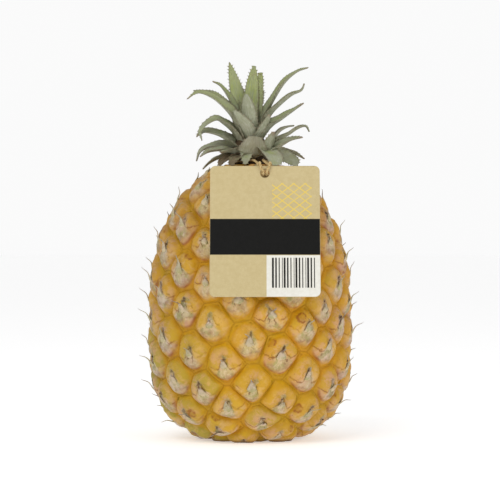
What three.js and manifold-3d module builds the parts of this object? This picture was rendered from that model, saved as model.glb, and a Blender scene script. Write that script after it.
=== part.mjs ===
// A pineapple standing upright: the fruit with its eyes, the leafy crown, the cut
// stalk in the base, and the card tag that hangs from a cord round the neck.
// Millimetres, +Z up, the fruit's axis on the Z axis, the tag toward -Y.

import * as THREE from 'three';
import { ConvexHull } from 'three/addons/math/ConvexHull.js';
import { mergeVertices } from 'three/addons/utils/BufferGeometryUtils.js';
import Module from 'manifold-3d';

const wasm = await Module();
wasm.setup();

const GOLDEN_SHARE = 0.618034;

// Repeatable draws: two factors and a scale that scatter the values, and one number for
// each thing that is drawn
const DRAW_KIND_FACTOR = 12.9898;
const DRAW_ITEM_FACTOR = 78.233;
const DRAW_SCALE = 43758.5453;
const DRAWS = {
  eyeLatitude: 1,
  eyeTurn: 2,
  spineLength: 3,
  spineLean: 4,
  spineSway: 5,
  eyeLift: 6,
  leafSwerve: 7,
};

// Gaps between pieces that touch, and the least distance between two points of a mesh
const TOUCH_GAP = 0.3;
const POINT_SPACING = 2e-3;

// Fruit outline: a barrel, squarer below the belly than above it
const FRUIT_RADIUS = 57.5;
const BELLY_HEIGHT = 66;
const TOP_REACH = 95;
const TOP_SQUARENESS = 2.5;
const BOTTOM_REACH = 70;
const BOTTOM_SQUARENESS = 3.5;
const OUTLINE_STEPS = 1600;
const POLE_MARGIN = 0.002;
const POLE_LIMIT = 0.999999;
const SEAT_HEIGHT = 158;

// Eyes: one after another up the fruit, each turned on from the last by the same angle
const EYE_SIZE = 19.85;
const EYE_SHRINK = 0.17;
const EYE_SHRINK_FLOOR = 0.15;
const EYE_TURN = -137.363;
const EYE_FIRST_TURN = 333.5;
const EYE_INDEX_OFFSET = 0.07;
const EYE_SHIFT_SPREAD = 0.05;
const EYE_LIFT = 1.2;
const EYE_LIFT_SPREAD = 0.5;
const GROOVE_DEPTH = 4.2;
const PILLOW_POWER = 4;
const RING_SHARES = [0.82, 0.46];

// Bracts: the lower half of every eye is a papery flap that ends in a spine
const BRACT_HALF_WIDTH = 2.8;
const BRACT_FOOT_DROP = 1.9;
const BRACT_FOOT_TOP = 1.3;
const BRACT_FOOT_LIFT = 0.7;
const BRACT_BEND_SHARE = 0.42;
const BRACT_BEND_HALF_WIDTH = 0.75;
const BRACT_BEND_THICKNESS = 0.7;
const BRACT_LOW_LIMIT = 7;
const BRACT_HIGH_LIMIT = 157;
const SPINE_LENGTH = 7;
const SPINE_LENGTH_SPREAD = 2.4;
const SPINE_LEAN = 52;
const SPINE_LEAN_SPREAD = 18;
const SPINE_CURL = 24;
const SPINE_SWAY = 34;
const PRESSED_LENGTH_SHARE = 0.5;
const PRESSED_LEAN = 74;

// Cut stalk in the base
const STALK_RADIUS = 11;
const STALK_HEIGHT = 7;
const STALK_DOME = 0.6;
const STALK_SIDES = 20;

// Card tag, leaning back against the crest of the fruit
const TAG_WIDTH = 61;
const TAG_HEIGHT = 75;
const TAG_THICKNESS = 0.6;
const TAG_CORNER_RADIUS = 3;
const TAG_LEAN = 14.6;
const TAG_CENTRE_X = 8.3;
const TAG_CENTRE_HEIGHT = 119.5;
const TAG_CLEARANCE = 3;
const TAG_HOLE_RADIUS = 2.4;
const TAG_HOLE_DROP = 4.4;
const TAG_CURVE_STEPS = 5;
const TAG_SHADOW_SIDE = 7;
const TAG_SHADOW_END = 14;

// Cord that holds the tag: round the neck, over the top edge and in at the hole
const CORD_RADIUS = 0.8;
const CORD_SIDES = 6;
const CORD_STEPS = 66;
const CORD_LOOP_RADIUS = 11.8;
const CORD_LOOP_HEIGHT = SEAT_HEIGHT + 2 * TOUCH_GAP + CORD_RADIUS;
const CORD_LOOP_TURNS = [200, 160, 125, 90, 55, 20, -20];
const CORD_SHOULDER_SPREAD = 3;
const CORD_SHOULDER_X = 4.5;
const CORD_SHOULDER_Y = -18;
const CORD_SHOULDER_RISE = 0.9;
const CORD_KNOT_RADIUS = 2.9;
const CORD_KNOT_SETBACK = 5.2;

// One strand from the knot to above the fruit's shoulder: out to its side from the
// middle of the tag, up from the tag's top edge, and forward of the tag's back
const CORD_STRAND = [
  [0.9, -TAG_HOLE_DROP, -CORD_KNOT_SETBACK],
  [1, -TAG_HOLE_DROP, -1.6],
  [1, -TAG_HOLE_DROP, 0.3],
  [1.25, -3.1, 2.25],
  [2.1, -1.8, 2],
  [2.7, 1.1, 1.7],
  [3, 2.3, -1.4],
  [3.2, 2.7, -8],
];

// Crown
const CROWN_SEAT = SEAT_HEIGHT + TOUCH_GAP;
const CROWN_CORE = [
  [0, CROWN_SEAT],
  [9.6, CROWN_SEAT],
  [9.6, 162],
  [10.2, 167],
  [8.4, 173],
  [5.4, 179],
  [0, 183],
];
const CROWN_CORE_SIDES = 14;
const LEAF_TOOTH_PITCH = 6;
const LEAF_TOOTH_PLACE = 0.62;
const LEAF_TOOTH_REACH = 0.75;
const LEAF_FEWEST_TEETH = 4;
const LEAF_CHANNEL = 0.62;
const LEAF_CHANNEL_FLATTENING = 0.45;
const LEAF_ROOT_THICKNESS = 2.4;
const LEAF_TIP_THICKNESS = 0.9;
const LEAF_MIDDLE_SWELL = 0.5;
const LEAF_SLOPE_STEP = 1e-3;

// Leaves that face the picture: points along the middle from root to tip, the width, how
// pointed the blade is, the way its back faces when that isn't outward, and its roll
const SEEN_LEAVES = [
  {
    path: [[-3, 3, 170], [-5, 6, 187], [-8.5, 8, 204], [-12.2, 9, 219]],
    width: 13,
    taper: 0.8,
    turn: 95,
  },
  {
    path: [[0, 3, 170], [0, 5, 186], [1, 6, 202], [2.5, 6.5, 216.5]],
    width: 11,
    taper: 0.58,
    turn: 90,
  },
  {
    path: [[2, 2, 170], [4.5, 4, 186], [5.6, 5, 200], [6.4, 5.5, 212.5]],
    width: 7,
    taper: 0.4,
    turn: 60,
  },
  {
    path: [[-1, -2, 168], [-1, -7.5, 180], [-1.5, -9, 190], [-2.5, -8, 199]],
    width: 12,
    taper: 0.6,
  },
  {
    path: [[0, -3, 167], [-2, -9, 176], [-6, -11, 183], [-9.5, -11, 189]],
    width: 12,
    taper: 0.6,
    turn: -105,
  },
  {
    path: [[1, -3, 161.6], [1.6, -13.5, 162.2], [2.2, -17.6, 166.6], [3.2, -18.4, 174]],
    width: 19,
    taper: 0.42,
  },
  {
    path: [[0, -4, 164], [-1.2, -11, 164.4], [-2, -17, 162], [-2.6, -21, 157.6]],
    width: 9,
    taper: 0.6,
  },
  {
    path: [[3, -3, 164], [8, -12, 164.8], [12, -17.5, 162], [14.5, -21, 156.8]],
    width: 13,
    taper: 0.3,
  },
  {
    path: [[3, -2, 162.4], [9, -9, 164.2], [12, -11.6, 170], [14, -12.6, 177]],
    width: 15,
    taper: 0.7,
  },
  {
    path: [[2, -2, 168], [7, -7, 174], [10, -10, 181], [11.5, -11, 187]],
    width: 11,
    taper: 0.7,
  },
  {
    path: [
      [4, 0, 175], [9, -1, 187], [13.5, -2, 196],
      [20, -3, 206], [27, -4, 212], [34, -5, 214.5],
    ],
    width: 9.5,
    taper: 0.85,
    roll: 25,
  },
  {
    path: [
      [4, -1, 173], [11, -3, 186.5], [17, -5, 193],
      [24, -7, 198.5], [29.5, -8, 201], [31.3, -8.5, 205],
    ],
    width: 9,
    taper: 0.85,
    roll: 15,
  },
  {
    path: [[4, -2, 171], [12, -6, 180.5], [18, -8, 184.5], [24.5, -10, 189], [31, -12, 193.5]],
    width: 10,
    taper: 0.8,
    roll: 30,
  },
  {
    path: [[3, 1, 166], [12, 2, 170], [16, 3, 177], [21, 4, 180.5], [26, 5, 181.5]],
    width: 8,
    taper: 0.8,
  },
  {
    path: [
      [3, -1, 165.5], [14, -3, 171.5], [21.5, -5, 175.6],
      [27.5, -6, 179.4], [32, -7, 180.4], [34.3, -7.5, 177],
    ],
    width: 7,
    taper: 0.9,
    roll: 10,
  },
  {
    path: [
      [3, -2, 162.6], [11, -6, 164.6], [17, -9, 168.6],
      [23.5, -11, 172.2], [30.5, -13, 173.7],
    ],
    width: 13,
    taper: 0.85,
    roll: 30,
  },
  {
    path: [[3, 2, 164], [12, 5, 165.4], [19, 7, 163.2], [24.5, 8, 160.8], [27.5, 8, 158.2]],
    width: 9.5,
    taper: 0.35,
    roll: 60,
  },
  {
    path: [[-3, 1, 175], [-9, 3, 191], [-12.5, 4, 198], [-17, 5, 204.5], [-22, 6, 207.5]],
    width: 7.5,
    taper: 0.85,
    roll: -15,
  },
  {
    path: [[-3, 0, 172], [-10, -1, 187], [-17, -2, 195], [-24, -3, 199.5], [-33, -4, 201]],
    width: 10.5,
    taper: 0.75,
    roll: -30,
  },
  {
    path: [
      [-3, -2, 170], [-9, -5, 184], [-15, -7, 191.5],
      [-22, -9, 197], [-30, -10, 199.5], [-36.5, -11, 195.5],
    ],
    width: 13,
    taper: 1.15,
    roll: -35,
  },
  {
    path: [
      [-3, -2, 167], [-9, -5, 176.5], [-15, -7.5, 182],
      [-20, -9, 184], [-28, -10.5, 178.3], [-27.6, -11, 171.5],
    ],
    width: 11,
    taper: 1,
    roll: -25,
  },
  {
    path: [
      [-3, -1, 165], [-10, -3, 170.5], [-17, -5, 175],
      [-24, -6, 177], [-28, -7, 176.6], [-31, -7.5, 174],
    ],
    width: 10,
    taper: 0.85,
    roll: -30,
  },
  {
    path: [
      [-3, 0, 163.5], [-11, 1, 167.5], [-18, 2, 169.5],
      [-24, 3, 168.6], [-29, 3.5, 166], [-31.3, 4, 160.5],
    ],
    width: 9.5,
    taper: 0.8,
    roll: -25,
  },
  {
    path: [
      [-3, -2, 163.3], [-10, -5, 165.5], [-17, -8, 166.6],
      [-24, -10, 165.4], [-29, -11, 162.5],
    ],
    width: 9.5,
    taper: 0.8,
    roll: -15,
  },
  {
    path: [
      [-3, 0, 163], [-12, -1, 163.8], [-19, -2, 162],
      [-24, -3, 159], [-27.5, -3.5, 155.6],
    ],
    width: 7.5,
    taper: 0.85,
  },
  {
    path: [[-2, -2, 163], [-8, -9, 164.6], [-12, -13, 165.6], [-17, -16, 164.6]],
    width: 12,
    taper: 0.7,
  },
  {
    path: [[-3, -2, 162.6], [-9, -8, 162.8], [-14, -11.5, 160.4], [-17.5, -14, 157]],
    width: 10,
    taper: 0.5,
  },
  {
    path: [[-1, -4, 162.4], [-5, -12, 162.4], [-8.5, -16.5, 160.2], [-10.5, -19.5, 157]],
    width: 9,
    taper: 0.5,
  },
];

// Leaves at the back, out of the picture, by rule from the lowest to the highest
const BACK_LEAF_COUNT = 13;
const BACK_LEAF_POINTS = 5;
const BACK_LEAF_MIDDLE_TURN = 90;
const BACK_LEAF_ROOT_RADIUS = 3;
const BACK_LEAF_LOW = { root: 163.5, rise: 20, droop: -38, length: 34, width: 10, fan: 118 };
const BACK_LEAF_HIGH = { root: 175, rise: 84, droop: 62, length: 34, width: 11.5, fan: 70 };
const BACK_LEAF_TAPER = 0.75;
const BACK_LEAF_SWERVE = 9;

// Colour and roughness of each piece
const FINISHES = {
  fruit: { color: 0xcc9a2e, roughness: 0.5 },
  crown: { color: 0x7f8c62, roughness: 0.6 },
  stem_stub: { color: 0xb79a63, roughness: 0.85 },
  tag: { color: 0xcdbf93, roughness: 0.6 },
  tag_tie: { color: 0xdcc48e, roughness: 0.8 },
};

const radians = THREE.MathUtils.degToRad;
const blend = THREE.MathUtils.lerp;

// One repeatable draw between 0 and 1 for the given item of the given kind
function draw(kind, item) {
  const value = Math.sin(kind * DRAW_KIND_FACTOR + item * DRAW_ITEM_FACTOR) * DRAW_SCALE;
  return value - Math.floor(value);
}

// The same, spread evenly about zero
function drawAbout(kind, item) {
  return 2 * draw(kind, item) - 1;
}

function toManifold(geometry) {
  const plain = geometry.clone();
  plain.deleteAttribute('normal');
  plain.deleteAttribute('uv');
  const merged = mergeVertices(plain, POINT_SPACING);
  const mesh = new wasm.Mesh({
    numProp: 3,
    vertProperties: new Float32Array(merged.attributes.position.array),
    triVerts: new Uint32Array(merged.index.array),
  });
  return new wasm.Manifold(mesh);
}

function toGeometry(solid) {
  const mesh = solid.getMesh();
  const geometry = new THREE.BufferGeometry();
  const positions = new Float32Array(mesh.vertProperties);
  geometry.setAttribute('position', new THREE.BufferAttribute(positions, 3));
  geometry.setIndex(new THREE.BufferAttribute(new Uint32Array(mesh.triVerts), 1));
  return geometry;
}

function meshFrom(points, triangles) {
  const geometry = new THREE.BufferGeometry().setFromPoints(points);
  geometry.setIndex(triangles.flat());
  return geometry;
}

// The outer skin of a fused solid, without any pocket shut in between its parts and
// without edges too short to matter
function outerSkin(solid) {
  const shells = toManifold(toGeometry(solid)).decompose();
  return shells.reduce((largest, shell) => (shell.volume() > largest.volume() ? shell : largest));
}

// Outline of the fruit from bottom to top. Every row holds the radius and height, the
// outward normal, the count of eyes below it, and the latitude that keeps angles true.
function fruitOutline() {
  const rows = [];
  for (let step = 0; step <= OUTLINE_STEPS; step += 1) {
    const angle = (step / OUTLINE_STEPS - 0.5) * (Math.PI - POLE_MARGIN);
    const side = Math.sin(angle);
    const reach = side < 0 ? -BOTTOM_REACH : TOP_REACH;
    const power = 2 / (side < 0 ? BOTTOM_SQUARENESS : TOP_SQUARENESS);
    rows.push({
      radius: FRUIT_RADIUS * Math.cos(angle),
      height: BELLY_HEIGHT + reach * Math.abs(side) ** power,
    });
  }
  let eyes = 0;
  let latitude = 0;
  rows.forEach((row, at) => {
    const before = rows[Math.max(at - 1, 0)];
    const after = rows[Math.min(at + 1, OUTLINE_STEPS)];
    const along = Math.hypot(after.radius - before.radius, after.height - before.height);
    row.normalOut = (after.height - before.height) / along;
    row.normalUp = (before.radius - after.radius) / along;
    const step = Math.hypot(row.radius - before.radius, row.height - before.height);
    const middle = (row.radius + before.radius) / 2;
    row.eyeSize = eyeSizeAt(middle);
    eyes += (2 * Math.PI * middle * step) / row.eyeSize ** 2;
    latitude += step / middle;
    row.eyes = eyes;
    row.latitude = latitude;
  });
  const belly = rows[OUTLINE_STEPS / 2].latitude;
  rows.forEach((row) => {
    row.latitude -= belly;
  });
  return rows;
}

function eyeSizeAt(radius) {
  return EYE_SIZE * Math.max(radius / FRUIT_RADIUS, EYE_SHRINK_FLOOR) ** EYE_SHRINK;
}

// The outline row, part way between two others, where a column reaches a value
function outlineWhere(outline, column, value) {
  let low = 0;
  let high = outline.length - 1;
  while (high - low > 1) {
    const middle = (low + high) >> 1;
    if (outline[middle][column] < value) low = middle;
    else high = middle;
  }
  const span = outline[high][column] - outline[low][column];
  const share = THREE.MathUtils.clamp((value - outline[low][column]) / span, 0, 1);
  const row = {};
  for (const name of Object.keys(outline[low])) {
    row[name] = blend(outline[low][name], outline[high][name], share);
  }
  return row;
}

// A direction on the unit sphere stands for a place on the fruit, angles kept true
function sphereDirection(latitude, turn) {
  const up = Math.tanh(latitude);
  const out = Math.sqrt(1 - up * up);
  return new THREE.Vector3(out * Math.cos(turn), out * Math.sin(turn), up);
}

function fruitFrame(outline, direction) {
  const up = THREE.MathUtils.clamp(direction.z, -POLE_LIMIT, POLE_LIMIT);
  const row = outlineWhere(outline, 'latitude', Math.atanh(up));
  const turn = Math.atan2(direction.y, direction.x);
  const across = new THREE.Vector3(-Math.sin(turn), Math.cos(turn), 0);
  const normal = new THREE.Vector3(
    row.normalOut * Math.cos(turn),
    row.normalOut * Math.sin(turn),
    row.normalUp,
  );
  return {
    across,
    normal,
    upward: new THREE.Vector3().crossVectors(normal, across),
    origin: new THREE.Vector3(row.radius * Math.cos(turn), row.radius * Math.sin(turn), row.height),
    eyeSize: row.eyeSize,
  };
}

function placeInFrame(frame, across, upward, out) {
  return frame.origin.clone()
    .addScaledVector(frame.across, across)
    .addScaledVector(frame.upward, upward)
    .addScaledVector(frame.normal, out);
}

function eyeDirections(outline) {
  const count = Math.floor(outline[OUTLINE_STEPS].eyes - EYE_INDEX_OFFSET);
  const directions = [];
  for (let eye = 0; eye < count; eye += 1) {
    const row = outlineWhere(outline, 'eyes', eye + EYE_INDEX_OFFSET);
    const latitude = row.latitude + EYE_SHIFT_SPREAD * drawAbout(DRAWS.eyeLatitude, eye);
    const turn = radians(EYE_FIRST_TURN + eye * EYE_TURN);
    const shift = EYE_SHIFT_SPREAD * drawAbout(DRAWS.eyeTurn, eye);
    directions.push(sphereDirection(latitude, turn + shift));
  }
  return directions;
}

// Corners where three eyes meet, as directions, and the corners round each eye in order
function eyeCells(directions) {
  const order = new Map(directions.map((direction, eye) => [direction, eye]));
  const hull = new ConvexHull().setFromPoints(directions);
  const corners = [];
  const cells = directions.map(() => []);
  for (const face of hull.faces) {
    let edge = face.edge;
    do {
      cells[order.get(edge.head().point)].push(corners.length);
      edge = edge.next;
    } while (edge !== face.edge);
    corners.push(face.normal.clone());
  }
  cells.forEach((cell, eye) => {
    const centre = directions[eye];
    const across = new THREE.Vector3(-centre.y, centre.x, 0).normalize();
    const upward = new THREE.Vector3().crossVectors(centre, across);
    const angleOf = (corner) => Math.atan2(corners[corner].dot(upward), corners[corner].dot(across));
    cell.sort((first, second) => angleOf(first) - angleOf(second));
  });
  return { corners, cells };
}

// Height of an eye's pillow above the outline, from its middle (0) to its groove (1)
function pillowHeight(share, lift) {
  return lift * (1 - share ** PILLOW_POWER) - (GROOVE_DEPTH - EYE_LIFT) * share ** PILLOW_POWER;
}

// True where the tag lies over the eye, so that its spine is pressed flat
function isUnderTag(point) {
  const halfWidth = TAG_WIDTH / 2 + TAG_SHADOW_SIDE;
  const halfHeight = TAG_HEIGHT / 2 + TAG_SHADOW_END;
  return point.y < 0
    && Math.abs(point.x - TAG_CENTRE_X) < halfWidth
    && Math.abs(point.z - TAG_CENTRE_HEIGHT) < halfHeight;
}

// The three sections of a bract, foot, bend and tip, on the frame of its eye
function bractSections(frame, eye, lift) {
  const scale = frame.eyeSize / EYE_SIZE;
  const pressed = isUnderTag(frame.origin);
  const foot = lift + BRACT_FOOT_LIFT;
  const lengthShare = pressed ? PRESSED_LENGTH_SHARE : 1;
  const freeLength = SPINE_LENGTH + SPINE_LENGTH_SPREAD * drawAbout(DRAWS.spineLength, eye);
  const length = freeLength * scale * lengthShare;
  const lean = pressed ? PRESSED_LEAN : SPINE_LEAN + SPINE_LEAN_SPREAD * drawAbout(DRAWS.spineLean, eye);
  const sway = radians(SPINE_SWAY * drawAbout(DRAWS.spineSway, eye));
  const start = radians(lean + SPINE_CURL / 2);
  const end = radians(lean - (pressed ? 0 : SPINE_CURL / 2));
  const bendUp = length * BRACT_BEND_SHARE * Math.sin(start);
  const bendOut = foot + length * BRACT_BEND_SHARE * Math.cos(start);
  const tipReach = length * (1 - BRACT_BEND_SHARE);
  const tipUp = bendUp + tipReach * Math.sin(end);
  const tipOut = bendOut + tipReach * Math.cos(end);
  const tipAcross = tipUp * Math.tan(sway);
  return {
    foot: [
      placeInFrame(frame, -BRACT_HALF_WIDTH * scale, -BRACT_FOOT_DROP * scale, foot),
      placeInFrame(frame, BRACT_HALF_WIDTH * scale, -BRACT_FOOT_DROP * scale, foot),
      placeInFrame(frame, 0, BRACT_FOOT_TOP * scale, lift + BRACT_FOOT_LIFT / 2),
    ],
    bend: [
      placeInFrame(frame, -BRACT_BEND_HALF_WIDTH, bendUp, bendOut + BRACT_BEND_THICKNESS / 2),
      placeInFrame(frame, BRACT_BEND_HALF_WIDTH, bendUp, bendOut + BRACT_BEND_THICKNESS / 2),
      placeInFrame(frame, 0, bendUp + BRACT_BEND_THICKNESS, bendOut - BRACT_BEND_THICKNESS / 2),
    ],
    tip: placeInFrame(frame, tipAcross, tipUp, tipOut),
  };
}

// Triangles between an outer and an inner loop, both in order round the same middle
function bandBetween(outer, inner) {
  const triangles = [];
  let out = 0;
  let inn = 0;
  while (out < outer.length || inn < inner.length) {
    const nextOut = (out + 1) / outer.length;
    const nextInn = (inn + 1) / inner.length;
    const outerHere = outer[out % outer.length];
    const innerHere = inner[inn % inner.length];
    if (inn >= inner.length || (out < outer.length && nextOut <= nextInn)) {
      triangles.push([outerHere, outer[(out + 1) % outer.length], innerHere]);
      out += 1;
    } else {
      triangles.push([outerHere, inner[(inn + 1) % inner.length], innerHere]);
      inn += 1;
    }
  }
  return triangles;
}

// The whole fruit as one skin: grooves along the corners, pillows inside, bracts on top
function fruitSkin(outline) {
  const directions = eyeDirections(outline);
  const { corners, cells } = eyeCells(directions);
  const points = corners.map((corner) => {
    const frame = fruitFrame(outline, corner);
    return placeInFrame(frame, 0, 0, pillowHeight(1, EYE_LIFT));
  });
  const triangles = [];
  const addPoint = (point) => points.push(point) - 1;
  cells.forEach((cell, eye) => {
    const middle = directions[eye];
    const lift = EYE_LIFT + EYE_LIFT_SPREAD * drawAbout(DRAWS.eyeLift, eye);
    const frame = fruitFrame(outline, middle);
    let loop = cell;
    for (const share of RING_SHARES) {
      const ring = cell.map((corner) => {
        const direction = middle.clone().lerp(corners[corner], share).normalize();
        const place = fruitFrame(outline, direction);
        return addPoint(placeInFrame(place, 0, 0, pillowHeight(share, lift)));
      });
      triangles.push(...bandBetween(loop, ring));
      loop = ring;
    }
    const height = frame.origin.z;
    if (height < BRACT_LOW_LIMIT || height > BRACT_HIGH_LIMIT) {
      const top = addPoint(placeInFrame(frame, 0, 0, lift));
      loop.forEach((here, at) => triangles.push([here, loop[(at + 1) % loop.length], top]));
      return;
    }
    const sections = bractSections(frame, eye, lift);
    const foot = sections.foot.map(addPoint);
    const bend = sections.bend.map(addPoint);
    const tip = addPoint(sections.tip);
    triangles.push(...bandBetween(loop, foot), ...bandBetween(foot, bend));
    bend.forEach((here, at) => triangles.push([here, bend[(at + 1) % bend.length], tip]));
  });
  return meshFrom(points, triangles);
}

function boxBetween(low, high) {
  const side = 4 * FRUIT_RADIUS;
  const box = new THREE.BoxGeometry(side, side, high - low);
  return toManifold(box.translate(0, 0, (low + high) / 2));
}

function lathe(profile, sides) {
  const outline = profile.map(([radius, height]) => new THREE.Vector2(radius, height));
  return new THREE.LatheGeometry(outline, sides).rotateX(Math.PI / 2);
}

function stalkProfile(gap) {
  return [
    [0, -gap],
    [STALK_RADIUS + gap, -gap],
    [STALK_RADIUS + gap, STALK_HEIGHT + gap],
    [0, STALK_HEIGHT + STALK_DOME + gap],
  ];
}

function makeFruit(outline) {
  const whole = toManifold(fruitSkin(outline));
  const margin = FRUIT_RADIUS;
  const standing = whole.subtract(boxBetween(-margin, 0));
  const seated = standing.subtract(boxBetween(SEAT_HEIGHT, SEAT_HEIGHT + margin));
  const hollow = toManifold(lathe(stalkProfile(TOUCH_GAP), STALK_SIDES));
  return toGeometry(outerSkin(seated.subtract(hollow)));
}

function makeStalk() {
  return lathe(stalkProfile(0), STALK_SIDES);
}

// A smooth curve through the points, from the first (0) to the last (1)
function pathPoint(path, share) {
  const spans = path.length - 1;
  const span = Math.min(Math.floor(share * spans), spans - 1);
  const t = share * spans - span;
  const [start, end] = [path[span], path[span + 1]];
  const before = path[span - 1] ?? start.map((value, axis) => 2 * value - end[axis]);
  const after = path[span + 2] ?? end.map((value, axis) => 2 * value - start[axis]);
  const along = (axis) => {
    const leaving = (end[axis] - before[axis]) / 2;
    const arriving = (after[axis] - start[axis]) / 2;
    const gap = end[axis] - start[axis];
    return start[axis] + leaving * t + (3 * gap - 2 * leaving - arriving) * t ** 2
      + (leaving + arriving - 2 * gap) * t ** 3;
  };
  return new THREE.Vector3(along(0), along(1), along(2));
}

// Half the width of a leaf at a share of its length
function leafHalfWidth(leaf, share) {
  return (leaf.width / 2) * (1 - share) ** leaf.taper * (1 + LEAF_MIDDLE_SWELL * share);
}

// Places along a leaf with a notch or a tooth at each, root first
function leafStations(leaf) {
  let length = 0;
  for (let point = 1; point < leaf.path.length; point += 1) {
    const before = leaf.path[point - 1];
    length += Math.hypot(...leaf.path[point].map((value, axis) => value - before[axis]));
  }
  const teeth = Math.max(LEAF_FEWEST_TEETH, Math.round(length / LEAF_TOOTH_PITCH));
  const stations = [];
  for (let tooth = 0; tooth < teeth; tooth += 1) {
    stations.push({ share: tooth / teeth, reach: 0 });
    stations.push({ share: (tooth + LEAF_TOOTH_PLACE) / teeth, reach: LEAF_TOOTH_REACH });
  }
  return stations;
}

// Where the middle of a leaf is at a share of its length, with the ways across the blade
// and out of its inner face
function leafFrame(leaf, share) {
  const origin = pathPoint(leaf.path, share);
  const ahead = pathPoint(leaf.path, Math.min(share + LEAF_SLOPE_STEP, 1));
  const behind = pathPoint(leaf.path, Math.max(share - LEAF_SLOPE_STEP, 0));
  const along = ahead.sub(behind).normalize();
  const root = leaf.path[0];
  const tip = leaf.path[leaf.path.length - 1];
  const outward = Math.atan2(tip[1] - root[1], tip[0] - root[0]);
  const turn = leaf.turn === undefined ? outward : radians(leaf.turn);
  const level = new THREE.Vector3(-Math.sin(turn), Math.cos(turn), 0);
  const across = level.addScaledVector(along, -level.dot(along)).normalize();
  across.applyAxisAngle(along, radians(leaf.roll ?? 0));
  return { origin, across, inner: new THREE.Vector3().crossVectors(along, across) };
}

// A channelled leaf with toothed margins, four points to a section, ending in a point
function leafSolid(leaf) {
  const points = [];
  const triangles = [[0, 3, 1], [1, 3, 2]];
  const stations = leafStations(leaf);
  for (const { share, reach } of stations) {
    const { origin, across, inner } = leafFrame(leaf, share);
    const half = leafHalfWidth(leaf, share);
    const edge = half + reach * Math.min(1, half);
    const raise = LEAF_CHANNEL * half * (1 - LEAF_CHANNEL_FLATTENING * share);
    const thickness = blend(LEAF_ROOT_THICKNESS, LEAF_TIP_THICKNESS, share);
    points.push(
      origin.clone().addScaledVector(across, edge).addScaledVector(inner, raise),
      origin.clone().addScaledVector(inner, thickness / 2),
      origin.clone().addScaledVector(across, -edge).addScaledVector(inner, raise),
      origin.clone().addScaledVector(inner, -thickness / 2),
    );
  }
  const tip = points.push(pathPoint(leaf.path, 1)) - 1;
  for (let station = 0; station < stations.length; station += 1) {
    const [left, top, right, bottom] = [0, 1, 2, 3].map((corner) => station * 4 + corner);
    if (station === stations.length - 1) {
      triangles.push([left, top, tip], [top, right, tip], [right, bottom, tip], [bottom, left, tip]);
      continue;
    }
    const [nextLeft, nextTop, nextRight, nextBottom] = [left + 4, top + 4, right + 4, bottom + 4];
    triangles.push(
      [left, top, nextTop], [left, nextTop, nextLeft],
      [right, nextTop, top], [right, nextRight, nextTop],
      [right, bottom, nextBottom], [right, nextBottom, nextRight],
      [left, nextBottom, bottom], [left, nextLeft, nextBottom],
    );
  }
  return toManifold(meshFrom(points, triangles));
}

function backLeaves() {
  const leaves = [];
  for (let leaf = 0; leaf < BACK_LEAF_COUNT; leaf += 1) {
    const rank = leaf / (BACK_LEAF_COUNT - 1);
    const between = (name) => blend(BACK_LEAF_LOW[name], BACK_LEAF_HIGH[name], rank);
    const place = ((leaf * GOLDEN_SHARE) % 1) - 0.5;
    const turn = BACK_LEAF_MIDDLE_TURN + place * between('fan');
    const step = between('length') / (BACK_LEAF_POINTS - 1);
    let radius = BACK_LEAF_ROOT_RADIUS;
    let height = between('root');
    const path = [];
    for (let point = 0; point < BACK_LEAF_POINTS; point += 1) {
      const share = point / (BACK_LEAF_POINTS - 1);
      const heading = radians(turn + BACK_LEAF_SWERVE * share * drawAbout(DRAWS.leafSwerve, leaf));
      path.push([radius * Math.cos(heading), radius * Math.sin(heading), height]);
      const pitch = radians(blend(between('rise'), between('droop'), share));
      radius += step * Math.cos(pitch);
      height += step * Math.sin(pitch);
    }
    leaves.push({ path, width: between('width'), taper: BACK_LEAF_TAPER });
  }
  return leaves;
}

function makeCrown() {
  const core = toManifold(lathe(CROWN_CORE, CROWN_CORE_SIDES));
  const blades = [...SEEN_LEAVES, ...backLeaves()].map(leafSolid);
  const fused = blades.reduce((whole, blade) => whole.add(blade), core);
  return toGeometry(outerSkin(fused));
}

// The tag's own frame: across its width, up its height, and out of its front face. The
// origin is the middle of the back face.
function tagFrame(outline) {
  const lean = radians(TAG_LEAN);
  const reachOf = (row) => row.radius * Math.cos(lean) + row.height * Math.sin(lean);
  const reach = Math.max(...outline.map(reachOf)) + TAG_CLEARANCE;
  const y = (TAG_CENTRE_HEIGHT * Math.sin(lean) - reach) / Math.cos(lean);
  return {
    origin: new THREE.Vector3(TAG_CENTRE_X, y, TAG_CENTRE_HEIGHT),
    across: new THREE.Vector3(1, 0, 0),
    upward: new THREE.Vector3(0, Math.sin(lean), Math.cos(lean)),
    normal: new THREE.Vector3(0, -Math.cos(lean), Math.sin(lean)),
  };
}

function roundedCard() {
  const right = TAG_WIDTH / 2;
  const top = TAG_HEIGHT / 2;
  const inset = TAG_CORNER_RADIUS;
  const card = new THREE.Shape();
  card.absarc(right - inset, top - inset, inset, 0, Math.PI / 2);
  card.absarc(inset - right, top - inset, inset, Math.PI / 2, Math.PI);
  card.absarc(inset - right, inset - top, inset, Math.PI, 1.5 * Math.PI);
  card.absarc(right - inset, inset - top, inset, 1.5 * Math.PI, 2 * Math.PI);
  card.closePath();
  const hole = new THREE.Path();
  hole.absarc(0, top - TAG_HOLE_DROP, TAG_HOLE_RADIUS, 0, 2 * Math.PI);
  card.holes.push(hole);
  return card;
}

function makeTag(frame) {
  const card = new THREE.ExtrudeGeometry(roundedCard(), {
    depth: TAG_THICKNESS,
    bevelEnabled: false,
    curveSegments: TAG_CURVE_STEPS,
  });
  const stand = new THREE.Matrix4().makeBasis(frame.across, frame.upward, frame.normal);
  return card.applyMatrix4(stand.setPosition(frame.origin));
}

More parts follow.
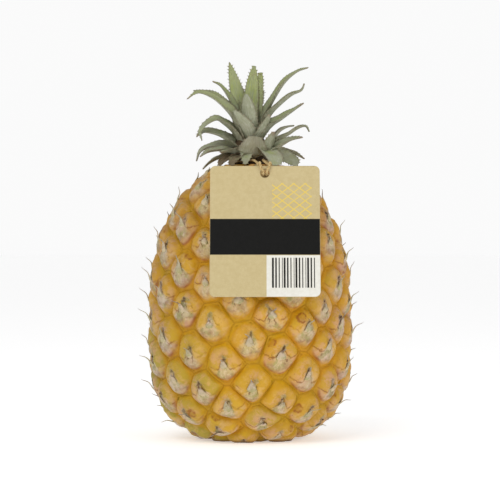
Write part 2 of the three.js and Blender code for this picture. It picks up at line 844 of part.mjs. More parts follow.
// One strand of the cord, from the knot behind the card to above the fruit's shoulder
function cordStrand(frame, side) {
  const points = CORD_STRAND.map(([across, upward, out]) => (
    placeInFrame(frame, side * across, TAG_HEIGHT / 2 + upward, out)
  ));
  const shoulderHeight = CORD_LOOP_HEIGHT + CORD_SHOULDER_RISE;
  const shoulderX = CORD_SHOULDER_X + side * CORD_SHOULDER_SPREAD;
  return [...points, new THREE.Vector3(shoulderX, CORD_SHOULDER_Y, shoulderHeight)];
}

function cordPath(frame) {
  const loop = CORD_LOOP_TURNS.map((turn) => new THREE.Vector3(
    CORD_LOOP_RADIUS * Math.cos(radians(turn)),
    CORD_LOOP_RADIUS * Math.sin(radians(turn)),
    CORD_LOOP_HEIGHT,
  ));
  const points = [...cordStrand(frame, -1), ...loop, ...cordStrand(frame, 1).reverse()];
  return new THREE.CatmullRomCurve3(points, false, 'centripetal');
}

function makeCord(frame) {
  const ring = new THREE.Shape();
  ring.absarc(0, 0, CORD_RADIUS, 0, 2 * Math.PI);
  const strand = new THREE.ExtrudeGeometry(ring, {
    steps: CORD_STEPS,
    curveSegments: CORD_SIDES / 2,
    extrudePath: cordPath(frame),
  });
  const knotPlace = placeInFrame(frame, 0, TAG_HEIGHT / 2 - TAG_HOLE_DROP, -CORD_KNOT_SETBACK);
  const knot = new THREE.IcosahedronGeometry(CORD_KNOT_RADIUS, 1);
  knot.translate(knotPlace.x, knotPlace.y, knotPlace.z);
  return toGeometry(outerSkin(toManifold(strand).add(toManifold(knot))));
}

const outline = fruitOutline();
const tagPlace = tagFrame(outline);
const pineapple = new THREE.Group();

function addPart(name, geometry) {
  const material = new THREE.MeshStandardMaterial({ ...FINISHES[name], metalness: 0 });
  const mesh = new THREE.Mesh(geometry, material);
  mesh.name = name;
  pineapple.add(mesh);
}

addPart('fruit', makeFruit(outline));
addPart('crown', makeCrown());
addPart('stem_stub', makeStalk());
addPart('tag', makeTag(tagPlace));
addPart('tag_tie', makeCord(tagPlace));

export default pineapple;
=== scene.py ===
"""Looks of the pineapple: the fruit's skin, bracts and withered flowers, the crown of
toothed leaves, the cut stalk, the card tag and its twine. Shapes are worked out in
millimetres, in the frame of the CAD, and written to the meshes in metres."""

import math

import bmesh
import bpy
import numpy as np
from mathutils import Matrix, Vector, noise


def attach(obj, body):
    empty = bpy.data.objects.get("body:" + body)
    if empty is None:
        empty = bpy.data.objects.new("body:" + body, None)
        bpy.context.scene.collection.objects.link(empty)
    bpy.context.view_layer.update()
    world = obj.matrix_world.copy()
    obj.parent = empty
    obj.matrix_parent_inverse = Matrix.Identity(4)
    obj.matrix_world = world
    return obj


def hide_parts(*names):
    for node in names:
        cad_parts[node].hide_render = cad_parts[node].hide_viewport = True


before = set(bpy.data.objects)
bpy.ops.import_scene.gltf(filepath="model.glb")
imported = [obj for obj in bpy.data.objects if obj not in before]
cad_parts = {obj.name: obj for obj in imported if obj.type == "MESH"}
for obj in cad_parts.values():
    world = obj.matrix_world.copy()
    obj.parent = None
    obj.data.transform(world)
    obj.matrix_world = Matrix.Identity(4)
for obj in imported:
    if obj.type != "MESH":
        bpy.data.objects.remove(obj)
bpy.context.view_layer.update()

MM = 0.001
GOLDEN_SHARE = 0.618034

# Repeatable draws, the same as in the CAD, with more kinds for what is added here
DRAW_KIND_FACTOR = 12.9898
DRAW_ITEM_FACTOR = 78.233
DRAW_SCALE = 43758.5453
DRAWS = {
    "eyeLatitude": 1, "eyeTurn": 2, "spineLength": 3, "spineLean": 4, "spineSway": 5,
    "eyeLift": 6, "leafSwerve": 7, "eyeTone": 11, "eyeBlush": 12, "bractWidth": 13,
    "bractCurl": 14, "bractTone": 15, "flowerTurn": 16, "flowerSize": 17, "leafTone": 18,
    "leafDry": 19, "toothReach": 20, "marginWave": 21, "scaleTurn": 22, "eyeCrease": 23,
    "apexHeight": 24, "tongueTilt": 25, "bractMargin": 26, "creaseLeft": 27,
    "creaseRight": 28, "flowerLeft": 29,
}

# Fruit outline, as in the CAD
FRUIT_RADIUS = 57.5
BELLY_HEIGHT = 66
TOP_REACH = 95
TOP_SQUARENESS = 2.5
BOTTOM_REACH = 70
BOTTOM_SQUARENESS = 3.5
OUTLINE_STEPS = 1600
POLE_MARGIN = 0.002
POLE_LIMIT = 0.999999
SEAT_HEIGHT = 158

# Eyes, as in the CAD
EYE_SIZE = 19.85
EYE_SHRINK = 0.17
EYE_SHRINK_FLOOR = 0.15
EYE_TURN = -137.363
EYE_FIRST_TURN = 333.5
EYE_INDEX_OFFSET = 0.07
EYE_SHIFT_SPREAD = 0.05
EYE_LIFT = 1.2
EYE_LIFT_SPREAD = 0.5
GROOVE_DEPTH = 4.2
PILLOW_POWER = 5

# Fine skin of an eye. Across and upright are shares of its half size; a wave is its reach,
# its pitch and how far the eye's own crease shifts it
EYE_SIDE_STEPS = 6
EYE_RINGS = 16
RING_CROWDING = 1.15
EYE_ROUNDING = 5
EYE_ROUNDING_END = 0.84
EYE_WARP = 0.02
EYE_WARP_SIZE = 13
EYE_WARP_APART = [(9.3, -1.5, -7.9), (0, 0, 0), (6.3, 0.2, -2.7)]
UPPER_STEEPNESS = 2.2
LUMPS = [(0.5, 6.5), (0.22, 2.4)]
LUMP_FADE = 0.8
RELIEF_FADE = (0.72, 0.98)
SEPAL_RISE = 0.7
SEPAL_EDGE = 0.04
SEPAL_BULGES = [(1, 0.4, 0.14, 0.09), (0.7, 0, 0.66, 0.07)]
CREASE_DEPTH = 0.6
CREASE_SHIFT = 0.02
CREASE_WIDTH = 0.05
BRACT_RISE = 0.25
BRACT_EDGE = 0.06
WRINKLE_RISE = 0.17
WRINKLE_START = (0.03, 0.2)
WRINKLE_CENTRE = 1.4
WRINKLES = [(1, 46, 3), (0.6, 83, 7)]
APEX_HEIGHT = 0.4
APEX_HEIGHT_SPREAD = 0.1
APEX_PIT = 0.7
APEX_PIT_SIZE = (0.1, 0.12)
TONGUE_TILT = 0.28
TONGUE_TILT_CENTRE = 0.3
TONGUE_HALF_WIDTH = 0.44
TONGUE_HALF_WIDTH_SPREAD = 0.1
TONGUE_POWER = 1.2
BRACT_MARGIN = -0.34
BRACT_MARGIN_SPREAD = 0.12
BRACT_MARGIN_CURVE = 0.3
BRACT_MARGIN_TILT = 0.14
BRACT_RAGS = [(0.03, 21, 9), (0.02, 47, 5)]
MERGE_DIGITS = 2

# Bracts and spines, as in the CAD
BRACT_HALF_WIDTH = 2.8
BRACT_FOOT_LIFT = 0.7
BRACT_BEND_SHARE = 0.42
BRACT_LOW_LIMIT = 7
BRACT_HIGH_LIMIT = 157
SPINE_LENGTH = 7
SPINE_LENGTH_SPREAD = 2.4
SPINE_LEAN = 52
SPINE_LEAN_SPREAD = 18
SPINE_CURL = 24
SPINE_SWAY = 34
PRESSED_LENGTH_SHARE = 0.5
PRESSED_LEAN = 74

# Fine bracts: their foot and bend, and half widths and thicknesses at shares of the length
SPINE_TRIM = 0.98
BRACT_FOOT_START = (-2.9, -0.9)
BRACT_FOOT_END = (-0.6, -0.1)
SPINE_KNEE = 0.72
SPINE_KNEE_RISE = 0.35
SPINE_KNEE_SWAY = 0.3
BLADE_STEPS = 21
BLADE_SPREAD = 0.5
BLADE_WIDTH_AT = [0, 0.12, 0.25, 0.4, 0.5, 0.7, 0.9, 1]
BLADE_WIDTHS = [0.7, 0.85, 0.8, 0.5, 0.28]
SPINE_WIDTHS = [0.36, 0.2, 0.05]
BLADE_THICKNESS_AT = [0, 0.25, 0.5, 1]
BLADE_THICKNESSES = [0.9, 0.6, 0.45, 0.1]
BLADE_HOLLOW = 0.16
BLADE_THINNING = 0.7

# Withered flowers: a few scraps at the tips of some bracts
FLOWER_SHARE = 0.6
FLOWER_SIZE_SPREAD = 0.7
FLOWER_ROOT = (-0.7, -0.5)
FLOWER_SCRAPS = 3
FLOWER_FAN = 34
FLOWER_TURN_SPREAD = 20
FLOWER_REACH = (0.75, 0.3)
FLOWER_RISES = (0.9, 0.75)
FLOWER_HOLLOW = -0.3

# Tag and cord, as in the CAD
TAG_WIDTH = 61
TAG_HEIGHT = 75
TAG_THICKNESS = 0.6
TAG_CORNER_RADIUS = 3
TAG_LEAN = 14.6
TAG_CENTRE_X = 8.3
TAG_CENTRE_HEIGHT = 119.5
TAG_CLEARANCE = 3
TAG_HOLE_RADIUS = 2.4
TAG_HOLE_DROP = 4.4
TAG_SHADOW_SIDE = 7
TAG_SHADOW_END = 14
CORD_RADIUS = 0.8
CORD_LOOP_RADIUS = 11.8
CORD_LOOP_HEIGHT = SEAT_HEIGHT + 0.6 + CORD_RADIUS
CORD_LOOP_TURNS = [200, 160, 125, 90, 55, 20, -20]
CORD_SHOULDER = (4.5, -18, CORD_LOOP_HEIGHT + 0.9)
CORD_SHOULDER_SPREAD = 3
CORD_KNOT_RADIUS = 2.9
CORD_KNOT_SETBACK = 5.2
CORD_STRAND = [
    (0.9, -TAG_HOLE_DROP, -CORD_KNOT_SETBACK),
    (1, -TAG_HOLE_DROP, -1.6),
    (1, -TAG_HOLE_DROP, 0.3),
    (1.25, -3.1, 2.25),
    (2.1, -1.8, 2),
    (2.7, 1.1, 1.7),
    (3, 2.3, -1.4),
    (3.2, 2.7, -8),
]

# Cut stalk and the hollow that it sits in
STALK_RADIUS = 11
STALK_HEIGHT = 7
TOUCH_GAP = 0.3
HOLLOW_RIM = 0.45
HOLLOW_FLOOR = 0.7
HOLLOW_LIFT = 0.6

# Crown, as in the CAD
CROWN_CORE = [
    (0, 158.3), (9.6, 158.3), (9.6, 162), (10.2, 167), (8.4, 173), (5.4, 179), (0, 183),
]
LEAF_CHANNEL = 0.62
LEAF_CHANNEL_FLATTENING = 0.45
LEAF_ROOT_THICKNESS = 2.4
LEAF_TIP_THICKNESS = 0.9
LEAF_MIDDLE_SWELL = 0.5
LEAF_SLOPE_STEP = 1e-3


def seen(width, taper, *path, **own):
    return {"width": width, "taper": taper, "path": path, **own}


# Leaves in view: width, taper and the midrib's points from root to tip, and for some the
# turn of the leaf's outward way, its roll about the midrib, and how withered it is, which
# also darkens it as painted shade
SEEN_LEAVES = [
    seen(13, 0.8, (-3, 3, 170), (-5, 6, 187), (-8.5, 8, 204), (-12.2, 9, 219), turn=95),
    seen(11, 0.58, (0, 3, 170), (0, 5, 186), (1, 6, 202), (2.5, 6.5, 216.5), turn=90),
    seen(7, 0.4, (2, 2, 170), (4.5, 4, 186), (5.6, 5, 200), (6.4, 5.5, 212.5), turn=60),
    seen(12, 0.6, (-1, -2, 168), (-1, -7.5, 180), (-1.5, -9, 190), (-2.5, -8, 199)),
    seen(12, 0.6, (0, -3, 167), (-2, -9, 176), (-6, -11, 183), (-9.5, -11, 189), turn=-105),
    seen(
        19, 0.42, (1, -3, 161.6), (1.6, -13.5, 162.2), (2.2, -17.6, 166.6), (3.2, -18.4, 174),
        worn=0.3,
    ),
    seen(9, 0.6, (0, -4, 164), (-1.2, -11, 164.4), (-2, -17, 162), (-2.6, -21, 157.6)),
    seen(13, 0.3, (3, -3, 164), (8, -12, 164.8), (12, -17.5, 162), (14.5, -21, 156.8)),
    seen(15, 0.7, (3, -2, 162.4), (9, -9, 164.2), (12, -11.6, 170), (14, -12.6, 177)),
    seen(11, 0.7, (2, -2, 168), (7, -7, 174), (10, -10, 181), (11.5, -11, 187)),
    seen(
        9.5, 0.85, (4, 0, 175), (9, -1, 187), (13.5, -2, 196), (20, -3, 206), (27, -4, 212),
        (34, -5, 214.5), roll=25,
    ),
    seen(
        9, 0.85, (4, -1, 173), (11, -3, 186.5), (17, -5, 193), (24, -7, 198.5), (29.5, -8, 201),
        (31.3, -8.5, 205), roll=15,
    ),
    seen(
        10, 0.8, (4, -2, 171), (12, -6, 180.5), (18, -8, 184.5), (24.5, -10, 189),
        (31, -12, 193.5), roll=30,
    ),
    seen(8, 0.8, (3, 1, 166), (12, 2, 170), (16, 3, 177), (21, 4, 180.5), (26, 5, 181.5)),
    seen(
        7, 0.9, (3, -1, 165.5), (14, -3, 171.5), (21.5, -5, 175.6), (27.5, -6, 179.4),
        (32, -7, 180.4), (34.3, -7.5, 177), roll=10,
    ),
    seen(
        13, 0.85, (3, -2, 162.6), (11, -6, 164.6), (17, -9, 168.6), (23.5, -11, 172.2),
        (30.5, -13, 173.7), roll=30,
    ),
    seen(
        9.5, 0.35, (3, 2, 164), (12, 5, 165.4), (19, 7, 163.2), (24.5, 8, 160.8),
        (27.5, 8, 158.2), roll=60,
    ),
    seen(
        7.5, 0.85, (-3, 1, 175), (-9, 3, 191), (-12.5, 4, 198), (-17, 5, 204.5),
        (-22, 6, 207.5), roll=-15,
    ),
    seen(
        10.5, 0.75, (-3, 0, 172), (-10, -1, 187), (-17, -2, 195), (-24, -3, 199.5),
        (-33, -4, 201), roll=-30,
    ),
    seen(
        13, 1.15, (-3, -2, 170), (-9, -5, 184), (-15, -7, 191.5), (-22, -9, 197),
        (-30, -10, 199.5), (-36.5, -11, 195.5), roll=-35,
    ),
    seen(
        11, 1, (-3, -2, 167), (-9, -5, 176.5), (-15, -7.5, 182), (-20, -9, 184),
        (-28, -10.5, 178.3), (-27.6, -11, 171.5), roll=-25,
    ),
    seen(
        10, 0.85, (-3, -1, 165), (-10, -3, 170.5), (-17, -5, 175), (-24, -6, 177),
        (-28, -7, 176.6), (-31, -7.5, 174), roll=-30,
    ),
    seen(
        9.5, 0.8, (-3, 0, 163.5), (-11, 1, 167.5), (-18, 2, 169.5), (-24, 3, 168.6),
        (-29, 3.5, 166), (-31.3, 4, 160.5), roll=-25,
    ),
    seen(
        9.5, 0.8, (-3, -2, 163.3), (-10, -5, 165.5), (-17, -8, 166.6), (-24, -10, 165.4),
        (-29, -11, 162.5), roll=-15,
    ),
    seen(
        7.5, 0.85, (-3, 0, 163), (-12, -1, 163.8), (-19, -2, 162), (-24, -3, 159),
        (-27.5, -3.5, 155.6),
    ),
    seen(12, 0.7, (-2, -2, 163), (-8, -9, 164.6), (-12, -13, 165.6), (-17, -16, 164.6)),
    seen(
        10, 0.5, (-3, -2, 162.6), (-9, -8, 162.8), (-14, -11.5, 160.4), (-17.5, -14, 157),
        worn=1,
    ),
    seen(
        9, 0.5, (-1, -4, 162.4), (-5, -12, 162.4), (-8.5, -16.5, 160.2), (-10.5, -19.5, 157),
        worn=0.9,
    ),
]

# Leaves behind, by rule from the lowest to the highest
BACK_LEAF_COUNT = 13
BACK_LEAF_POINTS = 5
BACK_LEAF_MIDDLE_TURN = 90
BACK_LEAF_ROOT_RADIUS = 3
BACK_LEAF_LOW = {
    "root": 163.5, "rise": 20, "droop": -38, "length": 34, "width": 10, "fan": 118,
}
BACK_LEAF_HIGH = {
    "root": 175, "rise": 84, "droop": 62, "length": 34, "width": 11.5, "fan": 70,
}
BACK_LEAF_TAPER = 0.75
BACK_LEAF_SWERVE = 9

# Fine leaves: the pitch of the teeth, and each tooth's outline as places along its pitch
# and shares of its reach. Blunt leaves have no dried tip.
TOOTH_PITCH = 2.1
TOOTH_REACH = 1.05
TOOTH_LEAST = 0.55
TOOTH_SPREAD = 0.6
TOOTH_DRAWS = 97
TOOTH_SWEEP = 0.5
TOOTH_THINNING = 0.6
TOOTH_OUTLINE = [(0.0, 0.0), (0.3, 0.04), (0.46, 0.3), (0.64, 1.0), (0.72, 0.25), (0.86, 0.0)]
FEWEST_TEETH = 6
LAST_STATION = 0.985
LEAF_LANES = [1.0, 0.8, 0.45, 0.0, -0.45, -0.8, -1.0]
LEAF_BOW_POWER = 1.35
LEAF_BODY_POWER = 1.1
LEAF_EDGE_THICKNESS = 0.3
MARGIN_WAVE = 0.22
MARGIN_WAVE_PITCH = 17
MARGIN_WAVE_SHIFT = 6
BLUNT_TAPER = 0.65
BLUNT_DRYNESS = -0.65

# Stem of the crown, and the dried scales round it
CORE_STEPS = 60
CORE_SIDES = 64
CORE_RIDGES = 4
CORE_RIDGE_DEPTH = 0.35
CORE_RIDGE_SLANT = 0.9
CORE_RIDGE_RADIUS = 3
CORE_LEAST_RADIUS = 0.02
SCALE_COUNT = 22
SCALE_TURN_SPREAD = 8
SCALE_LOW = 158.7
SCALE_CLIMB = 3.2
SCALE_HEIGHT = 3.4
SCALE_HEIGHT_SPREAD = 1.4
SCALE_PROFILE = [(8.4, 0), (9.9, 0.35), (10.4, 0.7), (11.2, 1)]
SCALE_WIDTH = 7.5
SCALE_TAPER = 0.8
SCALE_STATIONS = np.linspace(0, 0.96, 9)
SCALE_BOW = 0.3
SCALE_BOW_POWER = 1.6
SCALE_HALF_THICKNESS = 0.18

# Fine tag and twine
CARD_SOFTNESS = 0.14
CARD_LANES = np.concatenate([[0.0], np.linspace(0.02, 0.98, 14), [1.0]])
CARD_CORNER_STEPS = 8
CARD_EDGE_STEP = 2.5
TWINE_STEPS = 460
TWINE_PITCH = 3.6
TWINE_PLIES = 2
TWINE_SIDES = 7
PLY_SHARE = 0.56
PLY_FUZZ = 0.07
PLY_FUZZ_PITCH = 3.1
KNOT_STEPS = 150
KNOT_HEIGHT = 0.55
KNOT_CORD_SHARE = 0.95

# Print on the card, in millimetres from its middle: low and high ends across and upward
BAND_UP = (-13.7, 6.8)
PANEL = ((0.8, 30.5), (-42, -14.0))
BARS = ((3.4, 27.6), (-32.4, -15.4))
LATTICE = ((4, 26), (6, TAG_HEIGHT / 2 - 10))
LATTICE_PITCH = 3.2
LATTICE_SLOPE = 1.3


def draw(kind, item):
    value = math.sin(DRAWS[kind] * DRAW_KIND_FACTOR + item * DRAW_ITEM_FACTOR) * DRAW_SCALE
    return value - math.floor(value)


def draw_about(kind, item):
    return 2 * draw(kind, item) - 1


def blend(start, end, share):
    return start + (end - start) * share


def smooth(values, low, high):
    share = np.clip((np.asarray(values, float) - low) / (high - low), 0, 1)
    return share * share * (3 - 2 * share)


def noise_at(points, size):
    """Smooth noise at points, with features of about the given size."""
    return np.array([noise.noise(Vector(point / size)) for point in points])


def ripples(waves, where, crease):
    return sum(reach * np.sin(where * pitch + shift * crease) for reach, pitch, shift in waves)


def lengths_along(line):
    return np.concatenate([[0], np.cumsum(np.linalg.norm(np.diff(line, axis=0), axis=1))])


def span_of(path, share):
    """The four points round the span where a share of the path falls, and the place in it."""
    path = np.asarray(path, float)
    last = len(path) - 1
    at = min(int(share * last), last - 1)
    start, end = path[at], path[at + 1]
    before = path[at - 1] if at > 0 else 2 * start - end
    after = path[at + 2] if at + 2 <= last else 2 * end - start
    return before, start, end, after, share * last - at


def cubic(start, end, leaving, arriving, t):
    gap = end - start
    return (
        start + leaving * t + (3 * gap - 2 * leaving - arriving) * t ** 2
        + (leaving + arriving - 2 * gap) * t ** 3
    )


def path_point(path, share):
    before, start, end, after, t = span_of(path, share)
    return cubic(start, end, (end - before) / 2, (after - start) / 2, t)


def curve_through(points, count):
    """Places on a smooth curve through the points, and their shares of it."""
    shares = np.linspace(0, 1, count)
    return np.array([path_point(points, share) for share in shares]), shares


def centripetal(points, count):
    """A centripetal curve through the points, as the CAD's cord follows."""
    made = []
    for step in range(count):
        p0, p1, p2, p3, t = span_of(points, step / (count - 1))
        pairs = ((p0, p1), (p1, p2), (p2, p3))
        d0, d1, d2 = (max(np.linalg.norm(b - a) ** 0.5, 1e-4) for a, b in pairs)
        leaving = ((p1 - p0) / d0 - (p2 - p0) / (d0 + d1) + (p2 - p1) / d1) * d1
        arriving = ((p2 - p1) / d1 - (p3 - p1) / (d1 + d2) + (p3 - p2) / d2) * d1
        made.append(cubic(p1, p2, leaving, arriving, t))
    return np.array(made)


def unit(vectors):
    vectors = np.asarray(vectors, float)
    return vectors / np.linalg.norm(vectors, axis=-1, keepdims=True)


# ---- meshes ----

def add_object(name, data):
    made = bpy.data.objects.new(name, data)
    bpy.context.scene.collection.objects.link(made)
    return made


def make_object(name, points, faces, values, domain="POINT"):
    """A smooth mesh object from points in millimetres and faces, each a list of point
    numbers, with attributes for its points or for its corners."""
    mesh = bpy.data.meshes.new(name)
    mesh.from_pydata((np.asarray(points, float) * MM).tolist(), [], [list(f) for f in faces])
    for key, stored in values.items():
        layer = mesh.attributes.new(key, "FLOAT", domain)
        layer.data.foreach_set("value", np.asarray(stored, np.float32))
    mesh.polygons.foreach_set("use_smooth", [True] * len(mesh.polygons))
    mesh.update()
    return add_object(name, mesh)


def dress(piece, material, slot_name, *nodes):
    piece.data.materials.clear()
    piece.data.materials.append(material)
    if nodes:
        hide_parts(*nodes)
        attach(piece, "root")


class Build:
    """Points, faces and one list of values for each attribute, gathered piece by piece."""

    def __init__(self, *names):
        self.points = []
        self.faces = []
        self.values = {name: [] for name in names}

    def add(self, point, **values):
        self.points.append(tuple(point))
        for name, stored in self.values.items():
            stored.append(float(values.get(name, 0.0)))
        return len(self.points) - 1

    def rings(self, rings, close_start=True, close_end=True):
        for ring, after in zip(rings, rings[1:]):
            count = len(ring)
            for at in range(count):
                ahead = (at + 1) % count
                self.faces.append((ring[at], ring[ahead], after[ahead], after[at]))
        if close_start:
            self.faces.append(tuple(reversed(rings[0])))
        if close_end:
            self.faces.append(tuple(rings[-1]))

    def finish(self, name):
        return make_object(name, self.points, self.faces, self.values)


# ---- fruit ----

def eye_size_at(radius):
    return EYE_SIZE * np.maximum(radius / FRUIT_RADIUS, EYE_SHRINK_FLOOR) ** EYE_SHRINK


def fruit_outline():
    angle = (np.arange(OUTLINE_STEPS + 1) / OUTLINE_STEPS - 0.5) * (math.pi - POLE_MARGIN)
    side = np.sin(angle)
    reach = np.where(side < 0, -BOTTOM_REACH, TOP_REACH)
    power = 2 / np.where(side < 0, BOTTOM_SQUARENESS, TOP_SQUARENESS)
    radius = FRUIT_RADIUS * np.cos(angle)
    height = BELLY_HEIGHT + reach * np.abs(side) ** power
    before = np.maximum(np.arange(OUTLINE_STEPS + 1) - 1, 0)
    after = np.minimum(np.arange(OUTLINE_STEPS + 1) + 1, OUTLINE_STEPS)
    along = np.hypot(radius[after] - radius[before], height[after] - height[before])
    step = np.hypot(radius - radius[before], height - height[before])
    middle = (radius + radius[before]) / 2
    size = eye_size_at(middle)
    latitude = np.cumsum(step / middle)
    return {
        "radius": radius,
        "height": height,
        "normalOut": (height[after] - height[before]) / along,
        "normalUp": (radius[before] - radius[after]) / along,
        "eyeSize": size,
        "eyes": np.cumsum(2 * math.pi * middle * step / size ** 2),
        "latitude": latitude - latitude[OUTLINE_STEPS // 2],
    }


OUTLINE = fruit_outline()


def outline_where(column, values):
    return {name: np.interp(values, OUTLINE[column], OUTLINE[name]) for name in OUTLINE}


def sphere_direction(latitude, turn):
    up = math.tanh(latitude)
    out = math.sqrt(1 - up * up)
    return np.array([out * math.cos(turn), out * math.sin(turn), up])


def fruit_frames(directions):
    """Frames of the fruit's surface at unit directions: origin, across, upward, normal."""
    directions = np.atleast_2d(directions)
    height = np.clip(directions[:, 2], -POLE_LIMIT, POLE_LIMIT)
    rows = outline_where("latitude", np.arctanh(height))
    turn = np.arctan2(directions[:, 1], directions[:, 0])
    cos, sin, nil = np.cos(turn), np.sin(turn), np.zeros(len(turn))
    across = np.stack([-sin, cos, nil], 1)
    normal = np.stack([rows["normalOut"] * cos, rows["normalOut"] * sin, rows["normalUp"]], 1)
    origin = np.stack([rows["radius"] * cos, rows["radius"] * sin, rows["height"]], 1)
    return {
        "origin": origin,
        "across": across,
        "normal": normal,
        "upward": np.cross(normal, across),
        "eyeSize": rows["eyeSize"],
    }


def place(frame_of, across, upward, out):
    return (
        frame_of["origin"][0]
        + frame_of["across"][0] * across
        + frame_of["upward"][0] * upward
        + frame_of["normal"][0] * out
    )


def eye_directions():
    count = math.floor(OUTLINE["eyes"][-1] - EYE_INDEX_OFFSET)
    directions = []
    for eye in range(count):
        row = outline_where("eyes", eye + EYE_INDEX_OFFSET)
        latitude = float(row["latitude"]) + EYE_SHIFT_SPREAD * draw_about("eyeLatitude", eye)
        turn = math.radians(EYE_FIRST_TURN + eye * EYE_TURN)
        turn += EYE_SHIFT_SPREAD * draw_about("eyeTurn", eye)
        directions.append(sphere_direction(latitude, turn))
    return np.array(directions)


def eye_cells(directions):
    """For every eye the directions of its corners, in order round it."""
    hull = bmesh.new()
    made = [hull.verts.new(direction) for direction in directions]
    hull.verts.index_update()
    bmesh.ops.convex_hull(hull, input=made)
    hull.verts.index_update()
    corners = []
    cells = [[] for _ in directions]
    for face in hull.faces:
        members = [vert.index for vert in face.verts]
        first, second, third = (directions[at] for at in members[:3])
        normal = unit(np.cross(second - first, third - first))
        if normal @ first < 0:
            normal = -normal
        for at in members:
            cells[at].append(len(corners))
        corners.append(normal)
    hull.free()
    corners = np.array(corners)
    ordered = []
    for centre, cell in zip(directions, cells):
        across = unit([-centre[1], centre[0], 0])
        upward = np.cross(centre, across)
        angle = np.arctan2(corners[cell] @ upward, corners[cell] @ across)
        ordered.append(corners[np.array(cell)[np.argsort(angle)]])
    return ordered


def eye_lift(eye):
    return EYE_LIFT + EYE_LIFT_SPREAD * draw_about("eyeLift", eye)


def apex_height(eye):
    return APEX_HEIGHT + APEX_HEIGHT_SPREAD * draw_about("apexHeight", eye)


def tongue_height(side, eye):
    """Upper margin of the bract: low at the sides of an eye, with a tongue in the middle."""
    crease = draw_about("eyeCrease", eye)
    margin = BRACT_MARGIN + BRACT_MARGIN_SPREAD * draw_about("bractMargin", eye)
    base = margin + BRACT_MARGIN_CURVE * side ** 2 + crease * BRACT_MARGIN_TILT * side
    half = TONGUE_HALF_WIDTH + TONGUE_HALF_WIDTH_SPREAD * draw_about("bractWidth", eye)
    tongue = np.clip(1 - np.abs(side) / half, 0, None) ** TONGUE_POWER
    return base + (apex_height(eye) - base) * tongue + ripples(BRACT_RAGS, side, crease)


def eye_relief(side, upright, share, eye):
    """Height of the skin above an eye's plain pillow, and the depth inside the bract."""
    crease = draw_about("eyeCrease", eye)
    inside = tongue_height(side, eye) - upright
    bulges = sum(
        part * np.exp(-((np.abs(side) - across) ** 2 + (upright - up) ** 2) / spread)
        for part, across, up, spread in SEPAL_BULGES
    )
    relief = SEPAL_RISE * bulges * (1 - smooth(inside, -SEPAL_EDGE, SEPAL_EDGE))
    relief = relief + BRACT_RISE * smooth(inside, 0, BRACT_EDGE)
    worn = np.where(side > 0, draw("creaseRight", eye), draw("creaseLeft", eye))
    relief = relief - CREASE_DEPTH * worn * np.exp(-((inside + CREASE_SHIFT) / CREASE_WIDTH) ** 2)
    wrinkles = ripples(WRINKLES, np.arctan2(side, upright + WRINKLE_CENTRE), crease)
    relief = relief + WRINKLE_RISE * wrinkles * smooth(inside, *WRINKLE_START)
    across, up = side / APEX_PIT_SIZE[0], (upright - apex_height(eye)) / APEX_PIT_SIZE[1]
    relief = relief - APEX_PIT * np.exp(-(across ** 2 + up ** 2))
    return relief * (1 - smooth(share, *RELIEF_FADE)), inside


def seat_points(points):
    """Flattens the foot and the seat of the crown, and folds the middle of the foot up
    into the hollow round the stalk."""
    points = points.copy()
    low = points[:, 2] < 0
    spread = np.hypot(points[:, 0], points[:, 1])
    rim, top = STALK_RADIUS + TOUCH_GAP, STALK_HEIGHT + TOUCH_GAP
    share = spread / rim
    near = low & (np.abs(spread - rim) < HOLLOW_RIM)
    inner = low & (spread < rim - HOLLOW_RIM)
    wall, dome = inner & (share > HOLLOW_FLOOR), inner & (share <= HOLLOW_FLOOR)
    scale = np.where(near | wall, rim / np.maximum(spread, 1e-6), 1)
    points[:, :2] *= np.where(dome, 1 / HOLLOW_FLOOR, scale)[:, None]
    points[low, 2] = 0
    points[wall, 2] = top * np.clip((1 - share[wall]) / (1 - HOLLOW_FLOOR), 0, 1)
    points[dome, 2] = top + HOLLOW_LIFT
    points[:, 2] = np.minimum(points[:, 2], SEAT_HEIGHT)
    return points


def warped(flat):
    """Directions shifted a little, so that the grooves between the eyes run in curves."""
    spots = [flat * FRUIT_RADIUS + np.array(apart) * EYE_WARP_SIZE for apart in EYE_WARP_APART]
    shift = np.stack([noise_at(spot, EYE_WARP_SIZE) for spot in spots], 1)
    return unit(flat + EYE_WARP * shift)


